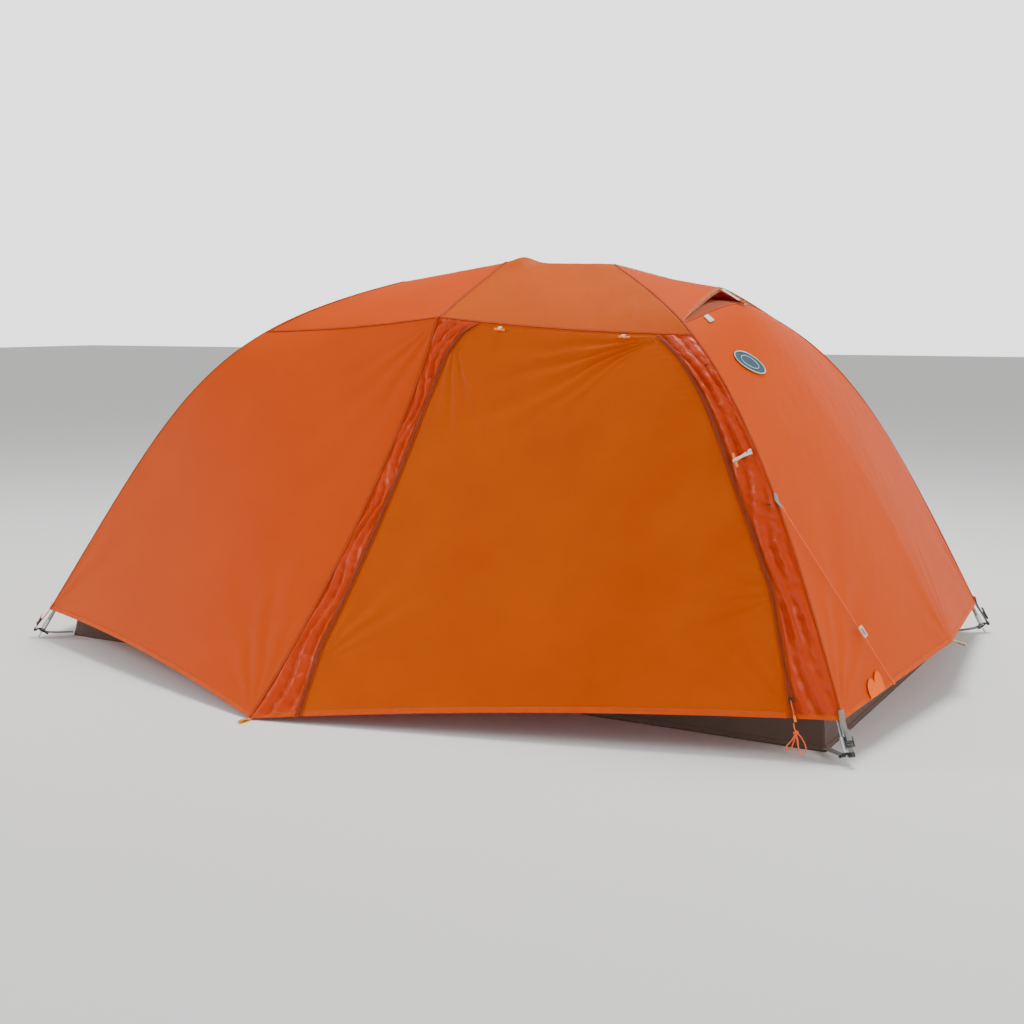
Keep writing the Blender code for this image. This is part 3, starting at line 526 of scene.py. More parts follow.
def mesh_of_grid(name, grid, s, t, outward=None):
    """A mesh of quads over a grid, facing away from the tent's middle or along given directions."""
    rows, cols = grid.shape[:2]
    index = np.arange(rows * cols).reshape(rows, cols)
    quads = np.stack([index[:-1, :-1], index[:-1, 1:], index[1:, 1:], index[1:, :-1]], -1).reshape(-1, 4)
    a, b, c = (grid.reshape(-1, 3)[quads[:, i]] for i in (0, 1, 3))
    face = np.cross(b - a, c - a)
    away = a - MIDDLE if outward is None else outward.reshape(-1, 3)[quads[:, 0]]
    if np.sum(face * away) < 0:
        quads = quads[:, ::-1]
    mesh = bpy.data.meshes.new(name)
    mesh.from_pydata(grid.reshape(-1, 3).tolist(), [], quads.tolist())
    layer = mesh.uv_layers.new(name="cloth")
    loops = quads.reshape(-1)
    uv = np.stack([s.reshape(-1)[loops], t.reshape(-1)[loops]], -1)
    layer.data.foreach_set("uv", uv.astype(np.float32).reshape(-1))
    mesh.shade_smooth()
    return mesh


def put(name, data):
    """A new object in the scene, at the origin."""
    obj = bpy.data.objects.new(name, data)
    bpy.context.scene.collection.objects.link(obj)
    return obj


def mesh_from(bm, name):
    """A mesh from an edited one, which is let go."""
    mesh = bpy.data.meshes.new(name)
    bm.to_mesh(mesh)
    bm.free()
    return mesh


def cuboid(name, size, centre=(0.0, 0.0, 0.0)):
    """A box as an object."""
    bm = bmesh.new()
    bmesh.ops.create_cube(bm, size=1.0)
    bmesh.ops.scale(bm, vec=size, verts=bm.verts)
    bmesh.ops.translate(bm, vec=centre, verts=bm.verts)
    return put(name, mesh_from(bm, name))


def finished(obj, name):
    """The mesh an object's modifiers make, in place of the object."""
    bpy.context.view_layer.update()
    graph = bpy.context.evaluated_depsgraph_get()
    baked = bpy.data.meshes.new_from_object(obj.evaluated_get(graph))
    bpy.data.objects.remove(obj)
    baked.name = name
    return baked


def show(name, mesh, material, body):
    """Puts a finished mesh in the scene, at the origin, on a body of the frame."""
    obj = put(name, mesh)
    mesh.materials.clear()
    mesh.materials.append(MATERIALS[material])
    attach(obj, body)
    return obj


def thicken(obj, thickness, offset=-1.0):
    """Gives a sheet its thickness, inwards unless told otherwise."""
    shell = obj.modifiers.new("thickness", "SOLIDIFY")
    shell.thickness = thickness
    shell.offset = offset
    return shell


def cloth_panel(
    name, grid, material, body, relief=None, node=None, sheet=True, pin=0.010
):
    """A panel of cloth over a grid, with its folds raised along the surface's own normals."""
    normal = grid_normals(grid)
    s, t, left, right, top, bottom = measured(grid)
    height = np.zeros_like(s)
    if relief:
        height = relief(s, t, left, right, top, bottom)
    nearest = np.minimum(np.minimum(left, right), np.minimum(top, bottom))
    height = height * (1 - np.exp(-nearest / pin))
    raised = grid + normal * height[..., None]
    normal = grid_normals(raised)
    PANELS[name] = (raised, normal)
    obj = show(name, mesh_of_grid(name, raised, s, t), material, body)
    thicken(obj, bpy.context.scene.tent_cloth.thickness)
    if node:
        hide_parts(node)
    if sheet:
        cells = np.cross(np.diff(grid, axis=0)[:, 1:], np.diff(grid, axis=1)[1:])
        area = float(np.linalg.norm(cells, axis=-1).sum())
        width = float(s[:, -1].max())
        length = max(float(t[-1].max()), area / width * 1.001)
        if area < 0.31 * width * length:
            length = area / width / 0.31
    return obj


def resample(grid, normal, edge):
    """A panel turned so that an edge is its first column: rows run along the edge, columns away."""
    if edge == "left":
        return grid, normal
    if edge == "right":
        return grid[:, ::-1], normal[:, ::-1]
    if edge == "top":
        return grid.swapaxes(0, 1), normal.swapaxes(0, 1)
    return grid[::-1].swapaxes(0, 1), normal[::-1].swapaxes(0, 1)


def beside(panel, edge, distances, lift=0.0, start=0.0, stop=1.0):
    """Points and normals on a panel at distances from one of its edges."""
    grid, normal = PANELS[panel]
    g, n = resample(grid, normal, edge)
    run = lengths(g)
    rows = range(int(round(start * (len(g) - 1))), int(round(stop * (len(g) - 1))) + 1)
    points = np.zeros((len(rows), len(distances), 3))
    facing = np.zeros_like(points)
    for k, row in enumerate(rows):
        for axis in range(3):
            points[k, :, axis] = np.interp(distances, run[row], g[row, :, axis])
            facing[k, :, axis] = np.interp(distances, run[row], n[row, :, axis])
    facing = unit(facing)
    return points + facing * lift, facing


STITCHES = {}
TEETH = {}


def band(
    name, panel, edge, near, far, material, body, lift=0.0004, thick=0.0008, rows=(), start=0.0, over=0.0
):
    """A strip sewn on a panel beside an edge, with rows of stitches at distances from the edge."""
    distances = np.linspace(near, far, 5)
    points, facing = beside(panel, edge, distances, lift, start)
    if over:
        side = unit(points[:, 0] - points[:, 1])
        points[:, 0] += side * over
    s = np.repeat(distances[None], len(points), 0)
    t = np.repeat(lengths(points[:, 2][None])[0][:, None], len(distances), 1)
    obj = show(name, mesh_of_grid(name, points, s, t, facing), material, body)
    thicken(obj, thick, 1.0)
    for d in rows:
        line, up = beside(panel, edge, [d], lift + thick + 0.0001, start)
        STITCHES.setdefault(body, []).append((line[:, 0], up[:, 0]))
    return obj


def hem(name, panel, edge, material, body, width=0.012, start=0.0, stop=1.0):
    """A hem folded over a free edge and stitched near its inner side."""
    distances = np.array([-0.001, 0.0, 0.002, width * 0.6, width])
    points, facing = beside(panel, edge, np.maximum(distances, 0), -0.0003, start, stop)
    points[:, 0] += unit(points[:, 1] - points[:, 3]) * 0.0012
    s = np.repeat(distances[None], len(points), 0)
    t = np.repeat(lengths(points[:, 2][None])[0][:, None], len(distances), 1)
    obj = show(name, mesh_of_grid(name, points, s, t, facing), material, body)
    thicken(obj, 0.0020, 0.0)
    line, up = beside(panel, edge, [width - 0.002], 0.0009, start, stop)
    STITCHES.setdefault(body, []).append((line[:, 0], up[:, 0]))
    return obj


# ---------------------------------------------------------------- small solids


def frames_along(points, up=(0.0, 0.0, 1.0)):
    """Side and up directions along a row of points, turned as little as possible."""
    points = np.asarray(points, float)
    tangent = unit(np.gradient(points, axis=0))
    side = np.cross(tangent[0], np.asarray(up, float))
    if np.linalg.norm(side) < 1e-3:
        side = np.cross(tangent[0], np.array([1.0, 0.0, 0.0]))
    sides = [unit(side)]
    for t in tangent[1:]:
        last = sides[-1]
        sides.append(unit(last - np.dot(last, t) * t))
    sides = np.array(sides)
    return tangent, sides, np.cross(sides, tangent)


def loft(name, points, section, material, body, up=(0.0, 0.0, 1.0), closed=False, taper=None):
    """A closed section of (side, up) points carried along a row of points, with its ends capped."""
    points = np.asarray(points, float)
    if closed:
        points = np.concatenate([points[-1:], points, points[:2]])
    _, side, top = frames_along(points, up)
    if closed:
        points, side, top = points[1:-2], side[1:-2], top[1:-2]
    section = np.asarray(section, float)
    scale = np.ones(len(points)) if taper is None else np.asarray(taper, float)
    rings = points[:, None] + scale[:, None, None] * (
        side[:, None] * section[None, :, :1] + top[:, None] * section[None, :, 1:]
    )
    n, m = rings.shape[:2]
    index = np.arange(n * m).reshape(n, m)
    faces = []
    last = n if closed else n - 1
    for i in range(last):
        a, b = index[i], index[(i + 1) % n]
        faces += [(a[j], a[(j + 1) % m], b[(j + 1) % m], b[j]) for j in range(m)]
    if not closed:
        faces += [tuple(index[0][::-1]), tuple(index[-1])]
    bm = bmesh.new()
    verts = [bm.verts.new(p) for p in rings.reshape(-1, 3)]
    for f in faces:
        bm.faces.new([verts[i] for i in f])
    along = lengths(points[None])[0]
    around = lengths(np.concatenate([section, section[:1]])[None])[0]
    layer = bm.loops.layers.uv.new("cloth")
    bm.verts.index_update()
    for f in bm.faces:
        whole = {loop.vert.index % m for loop in f.loops} == {0, m - 1}
        for loop in f.loops:
            i, j = divmod(loop.vert.index, m)
            across = around[m] if whole and j == 0 else around[j]
            loop[layer].uv = (across, along[min(i, n - 1)])
    bmesh.ops.recalc_face_normals(bm, faces=bm.faces[:])
    mesh = mesh_from(bm, name)
    mesh.shade_smooth()
    mesh.set_sharp_from_angle(angle=math.radians(50))
    return show(name, mesh, material, body)


def circle(radius, sides=10):
    """A round section."""
    a = np.linspace(0, 2 * math.pi, sides, endpoint=False)
    return np.stack([radius * np.cos(a), radius * np.sin(a)], -1)


def flat_section(width, thick):
    """A strap's section with its corners cut."""
    w, h = width / 2, thick / 2
    e = min(w, h) * 0.6
    right = [(w - e, -h), (w, -h + e), (w, h - e), (w - e, h)]
    return [(-w + e, -h), *right, (-w + e, h), (-w, h - e), (-w, -h + e)]


def spline(points, count):
    """A smooth curve through given points."""
    p = np.asarray(points, float)
    p = np.concatenate([2 * p[:1] - p[1:2], p, 2 * p[-1:] - p[-2:-1]])
    spans = len(p) - 3
    out = []
    for k in np.linspace(0, spans, count):
        i = min(int(k), spans - 1)
        f = k - i
        a, b, c, d = p[i : i + 4]
        square = (2 * a - 5 * b + 4 * c - d) * f**2
        cube = (3 * b - a - 3 * c + d) * f**3
        out.append(0.5 * (2 * b + (c - a) * f + square + cube))
    return np.array(out)


def frame_matrix(place, x_axis, z_axis):
    """Where a block stands: its place, its length's direction and its upper face's."""
    x = Vector(x_axis).normalized()
    y = Vector(z_axis).cross(x).normalized()
    m = Matrix((x, y, x.cross(y).normalized())).transposed().to_4x4()
    m.translation = Vector(place)
    return m


def block(name, size, matrix, material, body, bevel=0.0006, segments=2, holes=()):
    """A small moulded block with rounded edges, and rectangular holes through its thickness."""
    obj = cuboid(name, size)
    tools = []
    for centre, extent in holes:
        tools.append(cuboid(name + "_hole", extent, centre))
        cut = obj.modifiers.new("hole", "BOOLEAN")
        cut.operation = "DIFFERENCE"
        cut.object = tools[-1]
    edge = obj.modifiers.new("edges", "BEVEL")
    edge.width = bevel
    edge.segments = segments
    edge.limit_method = "ANGLE"
    baked = finished(obj, name)
    for tool in tools:
        bpy.data.objects.remove(tool)
    baked.transform(matrix)
    baked.shade_smooth()
    baked.set_sharp_from_angle(angle=math.radians(40))
    return show(name, baked, material, body)


# ---------------------------------------------------------------- repeated pieces


def input_of(tree, name):
    """The identifier of a node group's named input."""
    items = tree.interface.items_tree
    return next(item.identifier for item in items if item.name == name and item.in_out == "INPUT")


def new_group(name, inputs):
    """A geometry node group with its named inputs, and one geometry output."""
    tree = bpy.data.node_groups.new(name, "GeometryNodeTree")
    for label, kind in inputs:
        tree.interface.new_socket(label, in_out="INPUT", socket_type="NodeSocket" + kind)
    tree.interface.new_socket("Geometry", in_out="OUTPUT", socket_type="NodeSocketGeometry")
    return tree


def repeat_tree():
    """Node group that sets a small piece at equal steps along lines, upright on the surface."""
    tree = new_group(
        "pieces along lines",
        (("Geometry", "Geometry"), ("Piece", "Object"), ("Spacing", "Float"), ("Material", "Material")),
    )
    given = add_node(tree, "NodeGroupInput")
    curve = add_node(tree, "GeometryNodeMeshToCurve", {"Mesh": given.outputs["Geometry"]})
    even = add_node(tree, "GeometryNodeResampleCurve", {"Curve": curve.outputs["Curve"]})
    set_choice(even, "mode", "LENGTH")
    tree.links.new(given.outputs["Spacing"], even.inputs["Length"])
    tangent = add_node(tree, "GeometryNodeInputTangent")
    up = add_node(tree, "GeometryNodeInputNamedAttribute", {"Name": "up"}, data_type="FLOAT_VECTOR")
    align = "FunctionNodeAlignRotationToVector"
    first = add_node(tree, align, {"Vector": tangent.outputs["Tangent"]}, axis="X")
    second = add_node(
        tree,
        align,
        {"Rotation": first.outputs["Rotation"], "Vector": up.outputs["Attribute"]},
        axis="Z",
        pivot_axis="X",
    )
    piece = add_node(tree, "GeometryNodeObjectInfo", {"Object": given.outputs["Piece"]})
    placed = add_node(
        tree,
        "GeometryNodeInstanceOnPoints",
        {
            "Points": even.outputs["Curve"],
            "Instance": piece.outputs["Geometry"],
            "Rotation": second.outputs["Rotation"],
        },
    )
    real = add_node(tree, "GeometryNodeRealizeInstances", {"Geometry": placed.outputs["Instances"]})
    coloured = add_node(
        tree,
        "GeometryNodeSetMaterial",
        {"Geometry": real.outputs["Geometry"], "Material": given.outputs["Material"]},
    )
    add_node(tree, "NodeGroupOutput", {"Geometry": coloured.outputs["Geometry"]})
    return tree


def pole_tree():
    """Node group that turns a line into a pole of sections: a tube with a ferrule at each joint."""
    sizes = [(label, "Float") for label in ("Radius", "Section", "Ferrule")]
    tree = new_group("sectioned pole", [("Geometry", "Geometry"), *sizes, ("Material", "Material")])
    given = add_node(tree, "NodeGroupInput")
    curve = add_node(tree, "GeometryNodeMeshToCurve", {"Mesh": given.outputs["Geometry"]})
    radius = given.outputs["Radius"]
    outline = add_node(tree, "GeometryNodeCurvePrimitiveCircle", {"Resolution": 14, "Radius": radius})
    tube = add_node(
        tree,
        "GeometryNodeCurveToMesh",
        {"Curve": curve.outputs["Curve"], "Profile Curve": outline.outputs["Curve"], "Fill Caps": True},
    )
    steps = add_node(tree, "GeometryNodeResampleCurve", {"Curve": curve.outputs["Curve"]})
    set_choice(steps, "mode", "LENGTH")
    tree.links.new(given.outputs["Section"], steps.inputs["Length"])
    wider = add_node(tree, "ShaderNodeMath", {0: radius, 1: 1.16}, operation="MULTIPLY")
    ring = add_node(
        tree,
        "GeometryNodeMeshCylinder",
        {"Vertices": 14, "Radius": wider.outputs[0], "Depth": given.outputs["Ferrule"]},
    )
    tangent = add_node(tree, "GeometryNodeInputTangent")
    align = "FunctionNodeAlignRotationToVector"
    stand = add_node(tree, align, {"Vector": tangent.outputs["Tangent"]}, axis="Z")
    placed = add_node(
        tree,
        "GeometryNodeInstanceOnPoints",
        {
            "Points": steps.outputs["Curve"],
            "Instance": ring.outputs["Mesh"],
            "Rotation": stand.outputs["Rotation"],
        },
    )
    real = add_node(tree, "GeometryNodeRealizeInstances", {"Geometry": placed.outputs["Instances"]})
    both = add_node(tree, "GeometryNodeJoinGeometry")
    tree.links.new(tube.outputs["Mesh"], both.inputs["Geometry"])
    tree.links.new(real.outputs["Geometry"], both.inputs["Geometry"])
    coloured = add_node(
        tree,
        "GeometryNodeSetMaterial",
        {"Geometry": both.outputs["Geometry"], "Material": given.outputs["Material"]},
    )
    add_node(tree, "NodeGroupOutput", {"Geometry": coloured.outputs["Geometry"]})
    return tree


def set_choice(node, name, value):
    """Sets a node's choice, whether it is a property of the node or one of its sockets."""
    if hasattr(node, name):
        setattr(node, name, value)
    else:
        node.inputs[name.title()].default_value = value.title()


def line_mesh(name, lines):
    """A mesh of open lines, each point carrying the surface's normal as the attribute up."""
    points, edges, ups = [], [], []
    for line, up in lines:
        first = len(points)
        points += [tuple(p) for p in line]
        ups += [tuple(u) for u in up]
        edges += [(first + i, first + i + 1) for i in range(len(line) - 1)]
    mesh = bpy.data.meshes.new(name)
    mesh.from_pydata(points, edges, [])
    layer = mesh.attributes.new("up", "FLOAT_VECTOR", "POINT")
    layer.data.foreach_set("vector", np.array(ups, np.float32).reshape(-1))
    return mesh


def run_tree(name, lines, tree, values, body):
    """Runs a node group over lines, turns the result into a plain mesh and sets it on a body."""
    obj = put(name, line_mesh(name, lines))
    modifier = obj.modifiers.new("rule", "NODES")
    modifier.node_group = tree
    for key, value in values.items():
        modifier[input_of(tree, key)] = value
    baked = finished(obj, name)
    if not baked.polygons:
        raise RuntimeError(f"{name}: its node group made nothing")
    baked.shade_smooth()
    made = put(name, baked)
    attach(made, body)
    return made


def small_piece(name, length, width, height, sides, rings):
    """A little rounded bar along X, for a stitch or a coil's turn."""
    bm = bmesh.new()
    rows = []
    for x, k in rings:
        rows.append(
            [
                bm.verts.new((x * length, k * width / 2 * math.cos(a), k * height / 2 * math.sin(a)))
                for a in np.linspace(0, 2 * math.pi, sides, endpoint=False)
            ]
        )
    for a, b in zip(rows, rows[1:]):
        for j in range(sides):
            bm.faces.new([a[j], a[(j + 1) % sides], b[(j + 1) % sides], b[j]])
    bm.faces.new(rows[0][::-1])
    bm.faces.new(rows[-1])
    bmesh.ops.recalc_face_normals(bm, faces=bm.faces[:])
    mesh = mesh_from(bm, name)
    mesh.shade_smooth()
    return put(name, mesh)


# ---------------------------------------------------------------- materials


MATERIALS = {}


def rgb(code):
    """Scene-linear colour of an sRGB hex code."""
    parts = [int(code[i : i + 2], 16) / 255 for i in (1, 3, 5)]
    return (*(c / 12.92 if c <= 0.04045 else ((c + 0.055) / 1.055) ** 2.4 for c in parts), 1.0)


def add_node(tree, kind, inputs=None, **settings):
    """A node with its settings made, and its inputs linked to sockets or set to values."""
    node = tree.nodes.new(kind)
    for key, value in settings.items():
        setattr(node, key, value)
    for key, value in (inputs or {}).items():
        if isinstance(value, bpy.types.NodeSocket):
            tree.links.new(value, node.inputs[key])
        else:
            node.inputs[key].default_value = value
    return node


def new_material(name):
    """An empty material, kept by its name."""
    made = bpy.data.materials.new(name)
    made.use_nodes = True
    made.node_tree.nodes.clear()
    MATERIALS[name] = made
    return made.node_tree


def ripstop(name, colour, deep, glow, roughness=0.46, sheen=0.0, gloss=0.22):
    """Coated ripstop nylon: a 5 mm grid of thicker threads, fine crinkle, light coming through."""
    tree = new_material(name)
    math_node = "ShaderNodeMath"
    noise = "ShaderNodeTexNoise"
    place = add_node(tree, "ShaderNodeUVMap", uv_map="cloth").outputs["UV"]
    cells = (1 / RIPSTOP_GRID, 1 / RIPSTOP_GRID, 0)
    scaled = add_node(tree, "ShaderNodeVectorMath", {0: place, 1: cells}, operation="MULTIPLY")
    parts = add_node(tree, "ShaderNodeSeparateXYZ", {0: scaled.outputs[0]})
    lines = []
    for axis in ("X", "Y"):
        cell = add_node(tree, math_node, {0: parts.outputs[axis]}, operation="FRACT")
        thick = {0: cell.outputs[0], 1: RIPSTOP_THREAD}
        lines.append(add_node(tree, math_node, thick, operation="LESS_THAN").outputs[0])
    mask = add_node(tree, math_node, {0: lines[0], 1: lines[1]}, operation="MAXIMUM").outputs[0]
    crinkle = add_node(tree, noise, {"Vector": place, "Scale": 160.0, "Detail": 5.0})
    cloudy = add_node(tree, noise, {"Vector": place, "Scale": 5.0, "Detail": 3.0})
    dyed = {MIX_FACTOR: cloudy.outputs["Fac"], MIX_A: rgb(colour), MIX_B: rgb(deep)}
    soft = add_node(tree, "ShaderNodeMix", dyed, data_type="RGBA").outputs[MIX_RESULT]
    threads = add_node(tree, math_node, {0: mask, 1: RIPSTOP_SHADE}, operation="MULTIPLY")
    woven = {MIX_FACTOR: threads.outputs[0], MIX_A: soft, MIX_B: rgb(deep)}
    final = add_node(tree, "ShaderNodeMix", woven, data_type="RGBA").outputs[MIX_RESULT]
    height = add_node(tree, math_node, {0: mask, 1: 0.35}, operation="MULTIPLY")
    total = add_node(
        tree, math_node, {0: height.outputs[0], 1: crinkle.outputs["Fac"]}, operation="ADD"
    )
    bump = add_node(
        tree, "ShaderNodeBump", {"Height": total.outputs[0], "Distance": 0.0003, "Strength": 0.6}
    )
    shader = add_node(
        tree,
        "ShaderNodeBsdfPrincipled",
        {
            "Base Color": final,
            "Roughness": roughness,
            "Specular IOR Level": gloss,
            "Sheen Weight": sheen,
            "Sheen Roughness": 0.4,
            "Sheen Tint": rgb("#FFD9C4"),
            "Normal": bump.outputs["Normal"],
        },
    )
    through = add_node(
        tree, "ShaderNodeBsdfTranslucent", {"Color": final, "Normal": bump.outputs["Normal"]}
    )
    both = add_node(
        tree, "ShaderNodeMixShader", {"Fac": glow, 1: shader.outputs[0], 2: through.outputs[0]}
    )
    add_node(tree, "ShaderNodeOutputMaterial", {"Surface": both.outputs[0]})


def netting(name, colour, cell, open_part):
    """Knitted netting: holes of a cell's size in the cloth's own coordinates."""
    tree = new_material(name)
    place = add_node(tree, "ShaderNodeUVMap", uv_map="cloth").outputs["UV"]
    cells = add_node(
        tree,
        "ShaderNodeTexVoronoi",
        {"Vector": place, "Scale": 1 / cell, "Randomness": 0.15},
        feature="DISTANCE_TO_EDGE",
    )
    inside = {0: cells.outputs["Distance"], 1: open_part}
    hole = add_node(tree, "ShaderNodeMath", inside, operation="GREATER_THAN")
    thread = add_node(tree, "ShaderNodeBsdfPrincipled", {"Base Color": rgb(colour), "Roughness": 0.8})
    clear = add_node(tree, "ShaderNodeBsdfTransparent")
    either = {"Fac": hole.outputs[0], 1: thread.outputs[0], 2: clear.outputs[0]}
    both = add_node(tree, "ShaderNodeMixShader", either)
    add_node(tree, "ShaderNodeOutputMaterial", {"Surface": both.outputs[0]})


def webbing(name, colour, deep, pitch=0.0014, depth=0.0004):
    """Woven strap or tape: diagonal ribs at the weave's pitch, in the piece's own coordinates."""
    tree = new_material(name)
    place = add_node(tree, "ShaderNodeTexCoord").outputs["Object"]
    ribs = add_node(
        tree,
        "ShaderNodeTexWave",
        {"Vector": place, "Scale": 1 / pitch / 6.28, "Distortion": 1.5},
        bands_direction="DIAGONAL",
    ).outputs["Fac"]
    uneven = add_node(tree, "ShaderNodeTexNoise", {"Vector": place, "Scale": 45.0, "Detail": 4.0})
    blend = add_node(tree, "ShaderNodeMath", {0: ribs, 1: uneven.outputs["Fac"]}, operation="MULTIPLY")
    woven = {MIX_FACTOR: blend.outputs[0], MIX_A: rgb(deep), MIX_B: rgb(colour)}
    colours = add_node(tree, "ShaderNodeMix", woven, data_type="RGBA").outputs[MIX_RESULT]
    bump = add_node(tree, "ShaderNodeBump", {"Height": ribs, "Distance": depth, "Strength": 0.7})
    shader = add_node(
        tree,
        "ShaderNodeBsdfPrincipled",
        {
            "Base Color": colours,
            "Roughness": 0.72,
            "Specular IOR Level": 0.15,
            "Normal": bump.outputs["Normal"],
        },
    )
    add_node(tree, "ShaderNodeOutputMaterial", {"Surface": shader.outputs[0]})


def braid(name, colour, deep):
    """Braided cord: two sets of strands crossing in the cord's own coordinates."""
    tree = new_material(name)
    place = add_node(tree, "ShaderNodeUVMap", uv_map="cloth").outputs["UV"]
    waves = []
    for turn in (0.9, -0.9):
        turned = add_node(tree, "ShaderNodeMapping", {"Vector": place, "Rotation": (0.0, 0.0, turn)})
        strands = {"Vector": turned.outputs[0], "Scale": 1 / BRAID_PITCH / 3.14}
        waves.append(add_node(tree, "ShaderNodeTexWave", strands).outputs["Fac"])
    strand = add_node(tree, "ShaderNodeMath", {0: waves[0], 1: waves[1]}, operation="MAXIMUM").outputs[0]
    braided = {MIX_FACTOR: strand, MIX_A: rgb(deep), MIX_B: rgb(colour)}
    colours = add_node(tree, "ShaderNodeMix", braided, data_type="RGBA").outputs[MIX_RESULT]
    bump = add_node(tree, "ShaderNodeBump", {"Height": strand, "Distance": 0.0004, "Strength": 0.8})
    shader = add_node(
        tree,
        "ShaderNodeBsdfPrincipled",
        {"Base Color": colours, "Roughness": 0.65, "Normal": bump.outputs["Normal"]},
    )
    add_node(tree, "ShaderNodeOutputMaterial", {"Surface": shader.outputs[0]})


def moulded(name, colour, roughness=0.45, metallic=0.0, grain=900.0, depth=0.00006):
    """Moulded plastic or machined metal with a fine grain and uneven polish."""
    tree = new_material(name)
    place = add_node(tree, "ShaderNodeTexCoord").outputs["Object"]
    fine = add_node(tree, "ShaderNodeTexNoise", {"Vector": place, "Scale": grain, "Detail": 3.0})
    broad = add_node(tree, "ShaderNodeTexNoise", {"Vector": place, "Scale": 35.0, "Detail": 4.0})
    polish = add_node(
        tree,
        "ShaderNodeMapRange",
        {"Value": broad.outputs["Fac"], "To Min": roughness - 0.07, "To Max": roughness + 0.09},
    )
    bump = add_node(
        tree, "ShaderNodeBump", {"Height": fine.outputs["Fac"], "Distance": depth, "Strength": 0.5}
    )
    shader = add_node(
        tree,
        "ShaderNodeBsdfPrincipled",
        {
            "Base Color": rgb(colour),
            "Roughness": polish.outputs[0],
            "Metallic": metallic,
            "Normal": bump.outputs["Normal"],
        },
    )
    add_node(tree, "ShaderNodeOutputMaterial", {"Surface": shader.outputs[0]})


def make_materials():
    """Every cloth, strap, cord, plastic and metal of the tent, and the studio's floor."""
    # Coated ripstop nylon, woven fine and dyed through: satin, and warm where light comes through it
    ripstop("fly_ripstop_nylon", "#E65806", "#DA4E04", 0.30, roughness=0.52, gloss=0.07)
    # The same cloth for the doors, the strip over them and the head's roof, with a low shine: its deeper,
    # browner orange is a painted shade for panels the light leaves in shade
    ripstop("door_ripstop_nylon", "#E26600", "#CE5200", 0.34, gloss=0.08)
    # The same cloth lying slack: its coating glints along every crumple, and its redder colour is a painted
    # sheen
    ripstop("flap_ripstop_nylon", "#E44C10", "#CC3C0A", 0.26, roughness=0.34)
    # Heavily coated floor nylon: dense and matt, hardly any light comes through
    ripstop("tub_coated_nylon", "#5E4C42", "#4A3A32", 0.06, roughness=0.6, sheen=0.1)
    # Breathable nylon with no coating: soft, dry and pale
    ripstop("canopy_uncoated_nylon", "#B8B0A6", "#A59C92", 0.25, roughness=0.7, sheen=0.06)
    # Knitted polyester netting, about 1.6 mm from hole to hole: a dark haze that can be seen through
    netting("inner_netting", "#4A4745", 0.0016, 0.10)
    # The vent's netting is coloured the dark orange of the hood's shadow on the end: a painted shadow
    netting("vent_netting", "#A8460F", 0.0016, 0.16)
    netting("edging_netting", "#E3A582", 0.0016, 0.10)
    # Narrow woven polyester, 0.8 to 0.9 mm from rib to rib: matt lines along seams, hems and zips
    webbing("seam_tape", "#C84A06", "#9A3202", pitch=0.0009, depth=0.0002)
    webbing("hem_binding", "#E45C06", "#C04402", pitch=0.0009, depth=0.0002)
    webbing("zip_tape", "#B8460A", "#8E2E04", pitch=0.0008, depth=0.0002)
    webbing("inner_zip_tape", "#8C8782", "#65605C", pitch=0.0008, depth=0.0002)
    webbing("tub_binding", "#6A5D55", "#4C423C", pitch=0.0009, depth=0.0002)
    webbing("piping_polyester", "#E29A6C", "#C07448", pitch=0.0008, depth=0.0002)
    # Woven strap and elastic, 1.4 mm from rib to rib: dry, with a soft ribbed edge to every highlight
    webbing("white_elastic", "#F4F2EE", "#CFCBC6")
    webbing("grey_webbing", "#A8A6A2", "#7A7874")
    webbing("orange_webbing", "#EE6410", "#C24804")
    webbing("yellow_webbing", "#F7A21E", "#D07C10")
    webbing("beige_webbing", "#D6C29E", "#A8936E")
    # Bright plain-woven nylon of the tie's reinforcement: stands out from the fly
    webbing("orange_patch_nylon", "#FF7400", "#F06000")
    # Embroidered patch and its overlocked border: close matt threads
    webbing("badge_cloth", "#4A6C82", "#33505F", pitch=0.0010)
    webbing("badge_border", "#F6F5F2", "#CFCDC9", pitch=0.0008)
    # Braided polyester cord, 2.2 mm from crossing to crossing: small bright diamonds
    braid("storm_cord", "#FF6A1C", "#E04E08")
    # Bonded sewing thread and the zip's nylon coil: dark, dotted lines on the cloth
    moulded("stitch_thread", "#C24A14", 0.7, grain=2500.0)
    moulded("coil_nylon", "#8A3410", 0.4)
    # Anodised aluminium tube and bright machined aluminium: a soft metal streak along the pole
    moulded("anodised_pole", "#8F9296", 0.30, 1.0, grain=1500.0, depth=0.00002)
    moulded("machined_tip", "#C9CBCE", 0.28, 1.0, grain=1500.0, depth=0.00002)
    # Injection-moulded acetal: smooth, slightly waxy, with even highlights on its rounded edges
    moulded("black_acetal_resin", "#17181A", 0.42)
    moulded("amber_acetal_resin", "#FF8000", 0.50)
    moulded("beige_acetal_resin", "#C9BBA6", 0.42)
    # Painted studio floor: plain and matt, so that only soft shadows show on it
    moulded("pale_floor", "#F1F0EE", 0.75, grain=200.0, depth=0.00002)


# ---------------------------------------------------------------- the fly's folds


